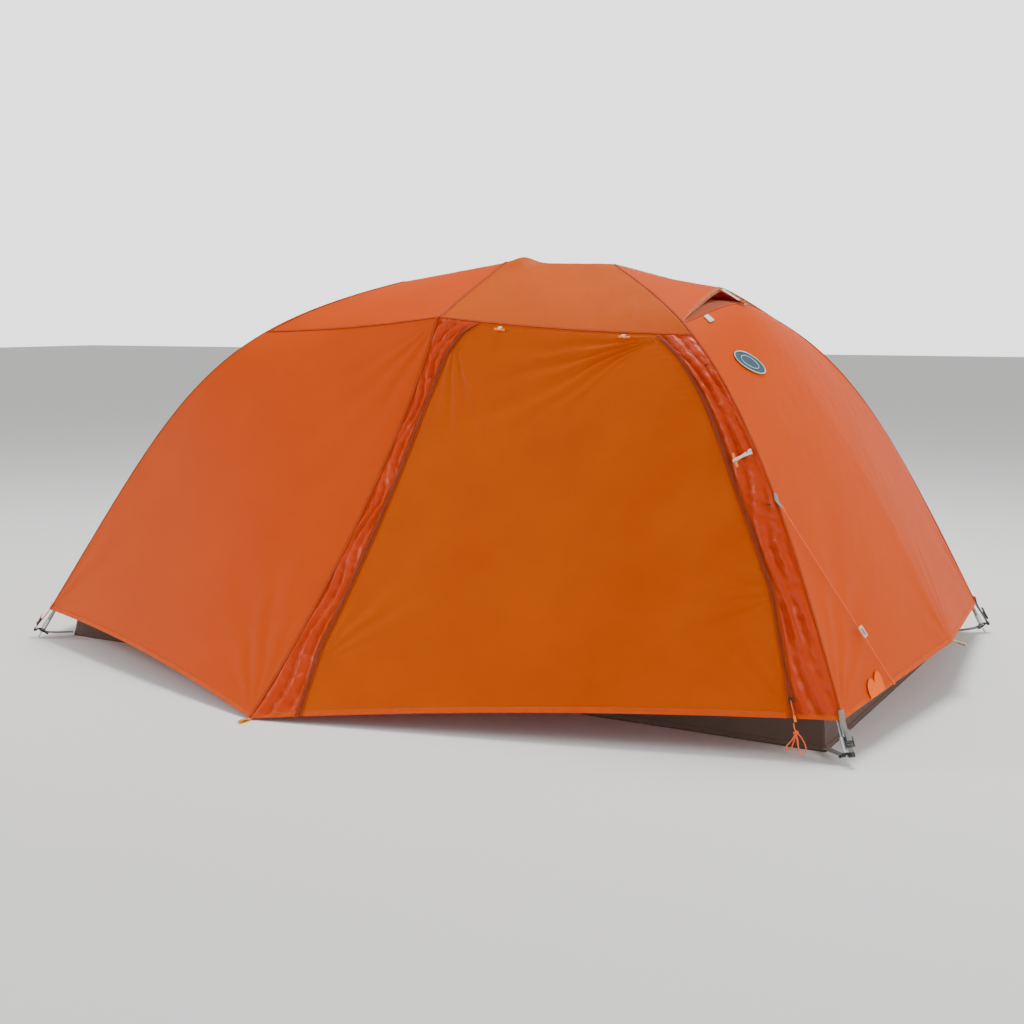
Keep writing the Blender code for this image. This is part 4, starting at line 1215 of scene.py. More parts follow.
def wall_relief(s, t, left, right, top, bottom):
    """The plain side: pulled from the brow tip, the stake and the corner, and gathered at its seams."""
    low = t[-1, 0]
    far = s[-1, -1]
    k = bpy.context.scene.tent_cloth.folds
    h = 0.0016 * rumple(s, t, 0.40, 11) + 0.0004 * rumple(s, t, 0.05, 12) * np.exp(-left / 0.15)
    h += fan(s, t, (0.0, 0.40), 114, 40, 14, 0.0016, 0.90, 13)
    h += fan(s, t, (0.0, 0.0), 62, 70, 7, 0.0018, 0.80, 14)
    h += fan(s, t, (0.0, low), -58, 44, 6, 0.0022, 0.80, 15)
    h += fan(s, t, (far, t[-1, -1]), -128, 60, 6, 0.0020, 0.80, 16)
    h += pucker(left, t, 0.017, 0.0010, 0.020, 17) + pucker(right, t, 0.021, 0.0007, 0.016, 18)
    h += pucker(top, s, 0.016, 0.0006, 0.012, 19) + pucker(bottom, s, 0.024, 0.0008, 0.014, 20)
    return h * k


def door_relief(s, t, left, right, top, bottom):
    """The door: folds at the zips' curved corners and gathers along both zips."""
    k = bpy.context.scene.tent_cloth.folds
    wide = s[3, -1]
    low = t[-1, -1]
    h = 0.0020 * rumple(s, t, 0.45, 21) + 0.0005 * rumple(s, t, 0.07, 22) * np.exp(-right / 0.12)
    h += fan(s, t, (wide + 0.02, 0.0), 152, 50, 8, 0.0042, 0.62, 23)
    h += fan(s, t, (0.0, 0.06), 62, 44, 6, 0.0028, 0.55, 24)
    h += fan(s, t, (s[-1, -1] - 0.02, low * 0.72), 188, 80, 10, 0.0030, 0.40, 25)
    h += fan(s, t, (0.0, low), -60, 50, 6, 0.0018, 0.60, 26)
    h += fan(s, t, (s[-1, -1], low), -122, 50, 7, 0.0024, 0.60, 27)
    h += pucker(left, t, 0.019, 0.0014, 0.020, 28) + pucker(right, t, 0.022, 0.0022, 0.028, 29)
    h += pucker(top, s, 0.013, 0.0008, 0.014, 30) + pucker(bottom, s, 0.030, 0.0008, 0.014, 31)
    return h * k


def strip_relief(seed):
    """A strip between a pole's seam and a zip: long slack folds and a crumpled surface."""

    def relief(s, t, left, right, top, bottom):
        k = bpy.context.scene.tent_cloth.folds
        across = s / np.maximum(s[:, -1:], 1e-6)
        drift = 0.9 * rumple(s * 0.2, t, 0.22, seed)
        h = 0.0062 * np.sin(2 * math.pi * (across * 2.3 + drift)) * (0.6 + 0.4 * rumple(s, t, 0.15, seed + 1))
        h += 0.0024 * rumple(s, t, 0.036, seed + 2) + 0.0008 * rumple(s, t, 0.016, seed + 3)
        gathers = pucker(left, t, 0.014, 0.0010, 0.010, seed + 4)
        return (h + (gathers + pucker(right, t, 0.013, 0.0012, 0.010, seed + 5))) * k

    return relief


def roof_relief(s, t, left, right, top, bottom):
    """A taut panel: hardly any slack, and gathers along all four of its edges."""
    k = bpy.context.scene.tent_cloth.folds
    h = 0.0010 * rumple(s, t, 0.30, 41) + 0.0003 * rumple(s, t, 0.05, 42)
    for i, edge in enumerate((left, right, top, bottom)):
        along = t if i < 2 else s
        h += pucker(edge, along, 0.016, 0.0007, 0.013, 43 + i)
    return h * k


def end_relief(s, t, left, right, top, bottom):
    """An end: pulled between its two corners, its hub and the loop in the middle of its hem."""
    k = bpy.context.scene.tent_cloth.folds
    low = t[-1, 0]
    h = 0.0018 * rumple(s, t, 0.45, 51) + 0.0003 * rumple(s, t, 0.06, 52)
    h += fan(s, t, (0.0, low), -52, 56, 6, 0.0022, 0.80, 53)
    h += fan(s, t, (s[-1, -1], low), -128, 56, 6, 0.0022, 0.80, 54)
    h += fan(s, t, (s[-1, -1] / 2, t[-1].max()), -90, 90, 7, 0.0018, 0.50, 55)
    h += pucker(left, t, 0.018, 0.0009, 0.016, 56) + pucker(right, t, 0.018, 0.0009, 0.016, 57)
    h += pucker(bottom, s, 0.022, 0.0008, 0.014, 58)
    return h * k


def inner_relief(s, t, left, right, top, bottom):
    """The inner tent's cloth and netting: light slack between its seams."""
    h = 0.0025 * rumple(s, t, 0.30, 61) + pucker(left, t, 0.03, 0.0010, 0.03, 62)
    return h + pucker(right, t, 0.03, 0.0010, 0.03, 63) + pucker(bottom, s, 0.035, 0.0012, 0.03, 64)


def steps(length):
    """How many points a length of cloth takes."""
    return max(6, int(round(length / bpy.context.scene.tent_cloth.resolution)))


def side_grid(end, side, low_u, high_u, low_v, high_v, wide, tall):
    """A part of a fly side between two rules of u, over a range of v."""
    v = np.linspace(low_v, high_v, steps(tall))
    k = np.linspace(0.0, 1.0, steps(wide))
    a = np.asarray(low_u(v)) * np.ones_like(v)
    b = np.asarray(high_u(v)) * np.ones_like(v)
    u = a[:, None] + (b - a)[:, None] * k[None]
    return to_side(side_surface(end, u, np.repeat(v[:, None], len(k), 1)), side)


# ---------------------------------------------------------------- pieces


def build_fly_panels():
    """The fly's panels: roofs, ends, plain sides, strips beside the zips and both doors."""
    for end in ENDS:
        u, s = np.meshgrid(np.linspace(0, 1, steps(0.62)), np.linspace(-1, 1, steps(0.85)), indexing="ij")
        # The head's roof takes the copy of the cloth whose colour is a painted shade
        cloth_panel(
            f"roof_{end}", roof_surface(end, u, s),
            "door_ripstop_nylon" if end == "head" else "fly_ripstop_nylon", "fly", roof_relief,
            f"fly_roof_{end}",
        )
        hem_at = parameter_at(end, hem_height(end))
        first = HOOD_END if end == "head" else 0.003
        down, across = np.linspace(first, hem_at, steps(1.1)), np.linspace(0, 1, steps(1.15))
        t, w = np.meshgrid(down, across, indexing="ij")
        cloth_panel(
            f"end_{end}", end_surface(end, w, t), "fly_ripstop_nylon", "fly", end_relief,
            f"fly_end_{end}",
        )
    for side in SIDES:
        grid = side_grid("foot", side, lambda v: 0.0 * v, lambda v: 0.0 * v + 1.0, 0.0, 1.0, 0.95, 1.15)
        cloth_panel(
            f"wall_{side}", grid, "fly_ripstop_nylon", "fly", wall_relief,
            f"fly_wall_{side}",
        )
        # The strips beside the zips take the cloth whose redder colour is a painted sheen
        grid = side_grid("head", side, lambda v: 0.0 * v, zip_left, 0.0, 1.0, 0.13, 1.2)
        cloth_panel(
            f"strip_brow_{side}", grid, "flap_ripstop_nylon", "fly", strip_relief(71),
            f"fly_flap_{side}", pin=0.006,
        )
        grid = side_grid("head", side, zip_right, lambda v: 0.0 * v + 1.0, 0.0, 1.0, 0.13, 1.2)
        cloth_panel(
            f"strip_leg_{side}", grid, "flap_ripstop_nylon", "fly", strip_relief(81),
            pin=0.006,
        )
        # The strip over the door and the door take the copy of the cloth whose colour is a painted shade
        grid = side_grid("head", side, zip_left, zip_right, 0.0, DOOR_TOP, 0.62, 0.05)
        cloth_panel(f"strip_top_{side}", grid, "door_ripstop_nylon", "fly")
        grid = side_grid("head", side, zip_left, zip_right, DOOR_TOP, 1.0, 1.0, 1.15)
        cloth_panel(
            f"door_{side}_cloth", grid, "door_ripstop_nylon", f"door_{side}", door_relief,
            f"door_{side}",
        )


def build_vent():
    """The vent: hood with a piped edge, netting under it and the strut that props it."""
    r, w = np.meshgrid(np.linspace(0.01, 1.0, steps(0.40)), np.linspace(0, 1, steps(0.80)), indexing="ij")
    cloth_panel(
        "hood", hood_surface(w, r), "fly_ripstop_nylon", "fly", roof_relief, "vent_hood",
    )
    hem("hood_hem", "hood", "bottom", "hem_binding", "fly", 0.009)
    line, _ = beside("hood", "bottom", [0.0], -0.0012)
    edge = line[:, 0] - unit(line[:, 0] - np.array([0.3, 0, 0.95])) * -0.0010
    loft("hood_piping", edge, circle(0.0012, 8), "piping_polyester", "fly")
    # Netting under the hood, coloured dark orange as a painted shadow of the hood
    t, k = np.meshgrid(np.linspace(0.20, HOOD_END, 40), np.linspace(0.02, 0.98, 90), indexing="ij")
    under = end_surface("head", k, t)
    under[..., 2] -= 0.012 * np.sin(math.pi * k) * (HOOD_END - t) / 0.1
    s, t2, *_ = measured(under)
    net = show("vent_net", mesh_of_grid("vent_net", under, s, t2), "vent_netting", "fly")
    thicken(net, 0.0003)
    hem("vent_sill", "end_head", "top", "seam_tape", "fly", 0.008)
    t, k = np.meshgrid(np.linspace(0.347, 0.372, 4), np.linspace(0.150, 0.185, 5), indexing="ij")
    tab = end_surface("head", k, t)
    tab = tab + grid_normals(tab) * 0.0016
    s, t2, *_ = measured(tab)
    piece = show("vent_hook_tab", mesh_of_grid("vent_hook_tab", tab, s, t2), "white_elastic", "fly")
    thicken(piece, 0.0014, 1.0)
    scallops("hood", "bottom")
    base, tip = strut_ends()
    run = unit(tip - base)
    across = np.array([0.0, 1.0, 0.0])
    out = unit(np.cross(across, run))
    middle = (base + tip) / 2
    length = float(np.linalg.norm(tip - base))
    m = frame_matrix(middle, run, out)
    strut = block("strut_stiffener", (length, 0.018, 0.0016), m, "white_elastic", "vent_strut", 0.0005)
    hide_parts("vent_strut")
    m = frame_matrix(tip - run * 0.014, run, out)
    block("strut_hook_tape", (0.024, 0.020, 0.0030), m, "white_elastic", "vent_strut", 0.0006)
    m = frame_matrix(base + run * 0.010, run, out)
    block("strut_binding", (0.018, 0.0205, 0.0028), m, "seam_tape", "vent_strut", 0.0006)


def scallops(panel, edge):
    """A narrow edging of netting under the hood's piping, gathered into small scallops."""
    line, _ = beside(panel, edge, [0.0, 0.006], -0.0016)
    inner, outer = line[:, 1], line[:, 0]
    away = unit(outer - inner)
    run = lengths(outer[None])[0]
    down = np.array([0.0, 0.0, -1.0])
    wave = 0.5 + 0.5 * np.abs(np.sin(math.pi * run / 0.011))
    k = np.linspace(0, 1, 4)
    grid = outer[None] + away[None] * (0.0015 * k[:, None, None])
    grid = grid + down * (0.0105 * k[:, None, None] * wave[None, :, None])
    s, t, *_ = measured(grid)
    facing = np.repeat(np.array([[[0.6, 0.0, 0.2]]]), 4, 0) * np.ones((4, len(run), 1))
    piece = show("hood_edging", mesh_of_grid("hood_edging", grid, s, t, facing), "edging_netting", "fly")
    thicken(piece, 0.0003)


def strut_ends():
    """Where the vent's strut stands, and its tip."""
    w = np.array([0.5])
    base = end_surface("head", w, np.array([HOOD_END + 0.020]))[0] + np.array([0.004, 0, 0.006])
    peak = hood_surface(w, np.array([0.97]))[0]
    return base, base + unit(peak - base) * STRUT_LENGTH


def build_seams():
    """The sewn seams between panels and the hems round the fly's free edges."""
    wide = bpy.context.scene.tent_seams.width
    rows = (0.002, wide - 0.002)
    for end in ENDS:
        for edge in ("left", "right"):
            band(f"seam_roof_{end}_{edge}", f"roof_{end}", edge, 0.0, wide, "seam_tape", "fly", rows=rows)
            band(
                f"seam_leg_{end}_{edge}", f"end_{end}", edge, 0.0, wide, "seam_tape", "fly",
                rows=rows, over=0.001,
            )
        hem(f"hem_end_{end}", f"end_{end}", "bottom", "hem_binding", "fly")
    band("seam_brow", "roof_head", "top", 0.0, wide, "seam_tape", "fly", rows=rows)
    band("seam_roof_leg", "roof_foot", "bottom", 0.0, wide, "seam_tape", "fly", rows=rows)
    for edge in ("left", "right"):
        band(f"seam_hood_{edge}", "hood", edge, 0.0, wide, "seam_tape", "fly", rows=rows, over=0.001)
    for side in SIDES:
        band(
            f"seam_wall_{side}", f"wall_{side}", "left", 0.0, wide, "seam_tape", "fly",
            rows=rows, over=0.001,
        )
        hem(f"hem_wall_{side}", f"wall_{side}", "bottom", "hem_binding", "fly")
        hem(f"hem_brow_{side}", f"strip_brow_{side}", "bottom", "hem_binding", "fly")
        hem(f"hem_leg_{side}", f"strip_leg_{side}", "bottom", "hem_binding", "fly")
        hem(
            f"hem_door_{side}", f"door_{side}_cloth", "bottom", "hem_binding", f"door_{side}",
            start=0.01, stop=0.99,
        )


def build_zips():
    """Zip tapes and coils up both edges of each door, and the sliders."""
    tape = bpy.context.scene.tent_zips.tape
    for side in SIDES:
        door = f"door_{side}_cloth"
        edges = [
            (f"strip_brow_{side}", "right", "fly", 0.012),
            (f"strip_leg_{side}", "left", "fly", 0.012),
            (door, "left", f"door_{side}", 0.02),
            (door, "right", f"door_{side}", 0.02),
        ]
        for i, (panel, edge, body, start) in enumerate(edges):
            band(
                f"zip_tape_{side}_{i}", panel, edge, 0.0015, tape, "zip_tape", body, ZIP_LIFT, 0.0007,
                rows=(tape - 0.0015,), start=start,
            )
            line, up = beside(panel, edge, [0.0008], ZIP_LIFT + 0.0014, start, 1.0)
            TEETH.setdefault(body, []).append((line[:, 0], up[:, 0]))
    for side in SIDES:
        low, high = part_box(f"zip_slider_{side}")
        centre = np.array((low + high) / 2)
        normal, down = zip_frame(side)
        m = frame_matrix(centre, down, normal)
        body = f"zip_{side}"
        slider = block(f"slider_{side}", (0.0120, 0.0088, 0.0036), m, "black_acetal_resin", body, 0.0012, 3)
        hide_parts(f"zip_slider_{side}")
        arch = ((-0.005, 0.0015), (-0.003, 0.0042), (0.003, 0.0042), (0.005, 0.0015))
        bridge = spline([centre + down * a + normal * b for a, b in arch], 12)
        section = flat_section(0.0026, 0.0010)
        loft(f"slider_bridge_{side}", bridge, section, "black_acetal_resin", body, normal)
        start = centre + normal * 0.0030
        hang = ((0.006, 0.004), (0.020, 0.0035), (0.034, 0.003))
        pull = [start] + [start + down * a + normal * b for a, b in hang]
        loft(f"slider_pull_{side}", spline(pull, 18), circle(0.0011, 8), "storm_cord", body)
        m = frame_matrix(start + down * 0.040 + normal * 0.0030, down, normal)
        block(f"slider_grip_{side}", (0.014, 0.0050, 0.0040), m, "amber_acetal_resin", body, 0.0012, 3)


def zip_frame(side):
    """The outward normal at the slider, and the zip's run down to the hem."""
    e = 0.002
    u = float(zip_right(ZIP_LOW))
    v = np.array([ZIP_LOW, ZIP_LOW, ZIP_LOW + e])
    uu = np.array([u, u + e, u])
    p = to_side(side_surface("head", uu, v), side)
    along = unit(p[1] - p[0])
    down = unit(p[2] - p[0])
    normal = unit(np.cross(along, down))
    return normal * np.sign(normal[1] * SIDES[side]), down


def surface_at(side, u, v):
    """A point of the fly's door side with its outward normal, and its directions along and down."""
    e = 0.003
    p = to_side(side_surface("head", np.array([u, u + e, u]), np.array([v, v, v + e])), side)
    along = unit(p[1] - p[0])
    down = unit(p[2] - p[0])
    normal = unit(np.cross(along, down))
    return p[0], normal * np.sign(normal[1] * SIDES[side]), along, down


def build_stitches():
    """Every row of stitches and every zip coil, set along its line by one node group."""
    seams = bpy.context.scene.tent_seams
    zips = bpy.context.scene.tent_zips
    tree = repeat_tree()
    stitch = small_piece("stitch", seams.stitch, 0.0006, 0.0005, 4, STITCH_RINGS)
    turn = small_piece("coil_turn", zips.pitch * 0.62, 0.0042, 0.0018, 6, TURN_RINGS)
    for body, lines in STITCHES.items():
        values = {"Piece": stitch, "Spacing": seams.spacing, "Material": MATERIALS["stitch_thread"]}
        run_tree(f"stitches_{body}", lines, tree, values, body)
    for body, lines in TEETH.items():
        values = {"Piece": turn, "Spacing": zips.pitch, "Material": MATERIALS["coil_nylon"]}
        run_tree(f"coils_{body}", lines, tree, values, body)
    for piece in (stitch, turn):
        bpy.data.objects.remove(piece)


def build_poles():
    """Sectioned poles with ferrules, and finishes for the hubs, clip and tips."""
    poles = bpy.context.scene.tent_poles
    tree = pole_tree()
    lines = {}
    for end in ENDS:
        t = np.linspace(0.0, 1.0, 1601)
        p = pole_line(end, t)
        run = lengths(p[None])[0]
        keep = (np.linalg.norm(p - p[0], axis=1) > HUB_REACH + 0.001) & (run < run[-1] - TIP_LENGTH - 0.001)
        route = p[keep][::12]
        for side in SIDES:
            lines[f"leg_pole_{end}_{side}"] = to_side(route, side)
    low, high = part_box("ridge_pole")
    a = np.array([low.x, 0.0, low.z + poles.radius])
    b = np.array([high.x, 0.0, high.z - poles.radius])
    lines["ridge_pole"] = mixed(a, b, np.linspace(0, 1, 40))
    lines["brow_pole"] = brow_line(np.linspace(-BROW_HALF, BROW_HALF, 120))
    for name, route in lines.items():
        values = {
            "Radius": poles.radius if name != "brow_pole" else poles.radius * 0.95,
            "Section": poles.section,
            "Ferrule": 0.022,
            "Material": MATERIALS["anodised_pole"],
        }
        piece = run_tree(f"{name}_tube", [(route, np.repeat(UP[None], len(route), 0))], tree, values, "base")
        piece.data.set_sharp_from_angle(angle=math.radians(40))
        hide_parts(name)
    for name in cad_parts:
        if name.endswith("_hub") or name in ("brow_clip", "brow_tip_front", "brow_tip_back"):
            dress(name, "black_acetal_resin")
        elif name.startswith("pole_tip"):
            dress(name, "machined_tip")
    for end in ENDS:
        low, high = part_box(f"{end}_hub")
        centre = np.array([pole_line(end, np.zeros(1))[0][0], 0.0, high.z])
        screw = [centre + np.array([0, 0, z]) for z in (-0.004, 0.0004, 0.0010)]
        section = circle(0.0034, 16)
        loft(f"hub_screw_{end}", screw, section, "machined_tip", "base", (1, 0, 0), taper=[1, 1, 0.7])


def brow_line(y):
    """The brow pole's centre, bowed over the ridge."""
    z = brow_height(y) - BROW_BELOW + BROW_RISE * np.exp(-((y / BROW_CROWN) ** 2))
    x = BROW_SHIFT * (1.0 - 0.8 * np.abs(y) / BROW_HALF)
    return np.stack([x, y, z], -1)


def dress(node, material):
    """Gives a part of the frame its finish."""
    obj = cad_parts[node]
    obj.data.materials.clear()
    obj.data.materials.append(MATERIALS[material])


def build_tub():
    """The bathtub floor: taut base, walls that sag between their corners, taped seams."""
    corners = [(e, s) for e, s in (("foot", -1), ("head", -1), ("head", 1), ("foot", 1))]
    heights = np.linspace(0.0, TUB_HEIGHT + 0.003, 22)
    columns = []
    for i in range(4):
        (ea, sa), (eb, sb) = corners[i], corners[(i + 1) % 4]
        a = np.array([tub_corner(ea, z) * np.array([1, sa, 1]) for z in heights])
        b = np.array([tub_corner(eb, z) * np.array([1, sb, 1]) for z in heights])
        n = int(np.linalg.norm(b[0] - a[0]) / 0.011)
        eased = (1 - np.cos(np.linspace(0, math.pi, n, endpoint=False))) / 2
        k = eased * 0.4 + np.linspace(0, 1, n, endpoint=False) * 0.6
        side = a[:, None] + (b - a)[:, None] * k[None, :, None]
        columns.append(side)
    wall = np.concatenate(columns + [columns[0][:, :1]], axis=1)
    s, t, *_ = measured(wall)
    k = heights[:, None] / TUB_HEIGHT
    inward = unit(wall * np.array([-1.0, -1.0, 0.0]))
    slack = (0.5 + 0.5 * rumple(s, t * 0.5, 0.30, 91)) * 0.007
    slack = slack + 0.0016 * rumple(s, t, 0.045, 92) + 0.0012
    grid = wall + inward * (slack * np.sin(math.pi * np.clip(k, 0, 1)) ** 0.8)[..., None]
    grid[..., 2] -= 0.006 * k * np.abs(np.sin(s * math.pi / 1.15)) * (k > 0.5)
    grid[:, -1] = grid[:, 0]
    PANELS["tub_wall"] = (grid, grid_normals(grid))
    obj = show("tub_wall", mesh_of_grid("tub_wall", grid, s, t), "tub_coated_nylon", "base")
    thicken(obj, 0.0008)
    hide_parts("tub_floor")
    v, u = np.meshgrid(np.linspace(0, 1, 90), np.linspace(0, 1, 150), indexing="ij")
    foot, head = tub_corner("foot", 0.0), tub_corner("head", 0.0)
    x = (1 - u) * foot[0] + u * head[0]
    y = ((1 - u) * foot[1] + u * head[1]) * (2 * v - 1)
    edge = np.minimum(np.minimum(u, 1 - u) * FLOOR_LENGTH, np.minimum(v, 1 - v) * HEAD_WIDTH)
    z = 0.0008 + 0.0012 * np.clip(edge / 0.05, 0, 1) * (1 + rumple(x, y, 0.25, 93))
    base = np.stack([x, y, z], -1)
    s, t, *_ = measured(base)
    down = np.repeat(np.repeat(np.array([[[0.0, 0.0, -1.0]]]), 90, 0), 150, 1)
    floor = show("tub_base", mesh_of_grid("tub_base", base, s, t, down), "tub_coated_nylon", "base")
    thicken(floor, 0.0006)
    band("tub_rim", "tub_wall", "bottom", 0.0, 0.012, "grey_webbing", "base", rows=(0.002, 0.010))
    band("tub_foot_seam", "tub_wall", "top", 0.003, 0.012, "tub_binding", "base", rows=(0.004, 0.011))


def build_inner():
    """The inner tent: netting sides, ends and doors, a cloth roof, and its clips on the poles."""
    for side in SIDES:
        rows = np.concatenate([[0.0], np.linspace(INNER_DOOR_TOP, INNER_DOOR_LOW, 60), [1.0]])
        left, right = door_rules(rows)

        def part(a, b, first, last, n):
            v = rows[first:last]
            u = a[first:last, None] + (b - a)[first:last, None] * np.linspace(0, 1, n)[None]
            return to_side(inner_side(u, np.repeat(v[:, None], n, 1)), side)

        zero, one = np.zeros_like(rows), np.ones_like(rows)
        name = f"inner_{side}"
        cloth_panel(
            f"{name}_foot", part(zero, left, 0, 62, 80), "inner_netting", "base", inner_relief,
            f"inner_wall_{side}",
        )
        grid = part(right, one, 0, 62, 20)
        cloth_panel(f"{name}_head", grid, "inner_netting", "base")
        for label, lo, hi in (("over", 0.0, INNER_DOOR_TOP), ("under", INNER_DOOR_LOW, 1.0)):
            v = np.linspace(lo, hi, 8)
            a, b = door_rules(v)
            u = a[:, None] + (b - a)[:, None] * np.linspace(0, 1, 60)[None]
            grid = to_side(inner_side(u, np.repeat(v[:, None], 60, 1)), side)
            cloth_panel(f"{name}_{label}", grid, "canopy_uncoated_nylon", "base", sheet=False)
        cloth_panel(
            f"{name}_door", part(left, right, 1, 61, 70), "inner_netting", f"inner_door_{side}", inner_relief,
            f"inner_door_{side}",
        )
        for edge in ("left", "right", "top"):
            piece, door = f"{name}_door_{edge}", f"{name}_door"
            band(piece, door, edge, 0.001, 0.012, "inner_zip_tape", f"inner_door_{side}")
        band(f"{name}_seam_foot", f"{name}_foot", "left", 0.0, 0.012, "grey_webbing", "base", rows=(0.003,))
        band(f"{name}_seam_head", f"{name}_head", "right", 0.0, 0.012, "grey_webbing", "base", rows=(0.003,))
    for end in ENDS:
        v, w = np.meshgrid(np.linspace(0, 1, 60), np.linspace(0, 1, 80), indexing="ij")
        cloth_panel(
            f"inner_{end}_net", inner_end(end, w, v), "inner_netting", "base", inner_relief,
            f"inner_end_{end}",
        )
    u, s = np.meshgrid(np.linspace(0, 1, 110), np.linspace(-1, 1, 70), indexing="ij")
    cloth_panel(
        "inner_canopy", inner_roof(u, s), "canopy_uncoated_nylon", "base", inner_relief,
        "inner_roof",
    )
    for end in ENDS:
        for side in SIDES:
            for k, t in enumerate((0.47, 0.60, 0.74)):
                pole_clip(f"clip_{end}_{side}_{k}", end, side, t)


def door_rules(v):
    """Where the inner door's two sides lie across the tent's side."""
    k = np.clip((v - INNER_DOOR_TOP) / 0.35, 0.0, 1.0)
    return 0.56 - 0.08 * np.sin(k * math.pi / 2), 0.86 + 0.07 * np.sin(k * math.pi / 2)


def pole_clip(name, end, side, t):
    """A hook over a leg pole, with the strap that holds the inner tent's seam up to it."""
    p = to_side(pole_line(end, np.array([t - 0.004, t, t + 0.004])), side)
    seam = to_side(inner_leg(end, np.array([t]))[0], side)
    run = unit(p[2] - p[0])
    towards = unit(seam - p[1])
    across = np.cross(run, towards)
    arc = np.linspace(-2.4, 2.4, 22)
    hook = [p[1] - towards * (0.0062 * math.cos(a)) + across * (0.0062 * math.sin(a)) for a in arc]
    loft(f"{name}_hook", hook, flat_section(0.008, 0.0020), "black_acetal_resin", "base", run)
    near = p[1] + towards * 0.0085
    body = [near, near + (seam - near) * 0.5, seam]
    loft(f"{name}_strap", np.array(body), flat_section(0.010, 0.0014), "grey_webbing", "base", run)


def build_corners():
    """At each foot: the floor's webbing with its ring, the fly's strap with its buckle, and a hem loop."""
    for end in ENDS:
        for side in SIDES:
            ground = pole_line(end, np.array([0.955, 1.0]))
            up = to_side(unit(ground[0] - ground[1]), side)
            foot = to_side(ground[1], side)
            tub = to_side(tub_corner(end, 0.0), side)
            outward = unit((foot - tub) * LEVEL)
            level = foot + up * STRAP_RISE
            flat = unit(outward - np.dot(outward, up) * up)
            start = tub + outward * 0.002 + np.array([0, 0, 0.010])
            end_at = level - flat * 0.0110
            path = spline([start, (start + end_at) / 2 - up * 0.0010, end_at], 20)
            section = flat_section(0.019, 0.0016)
            strap = loft(f"corner_{end}_{side}", path, section, "grey_webbing", "base", (0, 0, 1))
            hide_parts(f"corner_strap_{end}_{side}")
            turn = np.linspace(0, 2 * math.pi, 40, endpoint=False)
            other = np.cross(up, flat)
            ring = [level + flat * (0.0097 * math.cos(a)) + other * (0.0097 * math.sin(a)) for a in turn]
            resin = "black_acetal_resin"
            loft(f"ring_{end}_{side}", ring, circle(0.0024, 10), resin, "base", up, closed=True)
            m = frame_matrix(level - flat * 0.0135, flat, up)
            block(f"ring_shoulder_{end}_{side}", (0.009, 0.022, 0.0046), m, resin, "base", 0.0012, 3)
            fly_strap(end, side, foot, up, outward)
            if end == "foot" or side == "back":
                hem_loop(end, side)


def fly_strap(end, side, foot, up, outward):
    """The strap from the fly's corner to the foot, with its ladder buckle and loose tail."""
    hem_at = parameter_at(end, hem_height(end))
    corner_at = to_side(fly_leg(end, hem_at), side)
    strap_cloth = "orange_webbing" if end == "foot" else "grey_webbing"
    top = corner_at + outward * 0.004 + np.array([0, 0, -0.006])
    low = foot + up * STRAP_RISE + outward * 0.020 + np.array([0, 0, 0.006])
    run = unit(low - top)
    n = unit(np.cross(np.cross(run, outward), run))
    n = n * np.sign(np.dot(n, outward))
    path = [corner_at + np.array([0, 0, 0.020]) - outward * 0.006, top, (top + low) / 2 + n * 0.0004, low]
    strap = loft(f"strap_{end}_{side}", spline(path, 30), flat_section(0.013, 0.0013), strap_cloth, "fly", n)
    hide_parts(f"fly_strap_{end}_{side}")
    bend = low + run * 0.006 - outward * 0.005
    hook = spline([low - run * 0.004, low + run * 0.004, bend, low - outward * 0.009], 16)
    loft(f"strap_hook_{end}_{side}", hook, flat_section(0.014, 0.0030), "black_acetal_resin", "fly", n)
    centre = top + (low - top) * 0.62 + n * 0.0040
    m = frame_matrix(centre, run, n)
    holes = [((x, 0, 0), (0.0042, 0.0145, 0.02)) for x in (-0.0050, 0.0050)]
    body = f"buckle_{end}_{side}"
    size = (0.022, 0.020, 0.0042)
    buckle = block(f"ladder_{end}_{side}", size, m, "black_acetal_resin", body, 0.0008, 2, holes)
    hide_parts(body)
    tail = [centre + n * a - run * b for a, b in ((0.0026, 0.002), (0.0040, 0.012), (0.0060, 0.024))]
    loft(f"strap_tail_{end}_{side}", spline(tail, 14), flat_section(0.0125, 0.0012), strap_cloth, body, n)


def hem_loop(end, side):
    """A small cord loop sewn under an end's hem, for another stake."""
    hem_at = parameter_at(end, hem_height(end))
    at = 0.93 if side == "back" else 0.07
    p = end_surface(end, np.array([at, at + 0.02]), np.array([hem_at, hem_at]))
    run = unit(p[1] - p[0])
    out = np.array([sign_of(end) * 0.5, 0.0, -0.86])
    a = p[0] - out * 0.004
    b = p[0] + run * 0.012 - out * 0.004
    path = spline([a, a + out * 0.012, (a + b) / 2 + out * 0.020, b + out * 0.012, b], 24)
    loft(f"hem_loop_{end}_{side}", path, circle(0.0012, 8), "piping_polyester", "fly")


def webbing_loop(name, root, out, up, length, width, material, node):
    """A doubled strap that stands out from a hem and opens into an eye for a stake."""
    path = [
        root + up * 0.0012,
        root + out * length * 0.30 + up * 0.0012,
        root + out * length * 0.66 + up * 0.0034,
        root + out * length * 0.97 + up * 0.0012,
        root + out * length * 0.97 - up * 0.0004,
        root + out * length * 0.66 - up * 0.0016,
        root + out * length * 0.30 - up * 0.0004,
        root - up * 0.0004,
    ]
    piece = loft(name, spline(path, 44), flat_section(width, 0.0012), material, "fly", up)
    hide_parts(node)


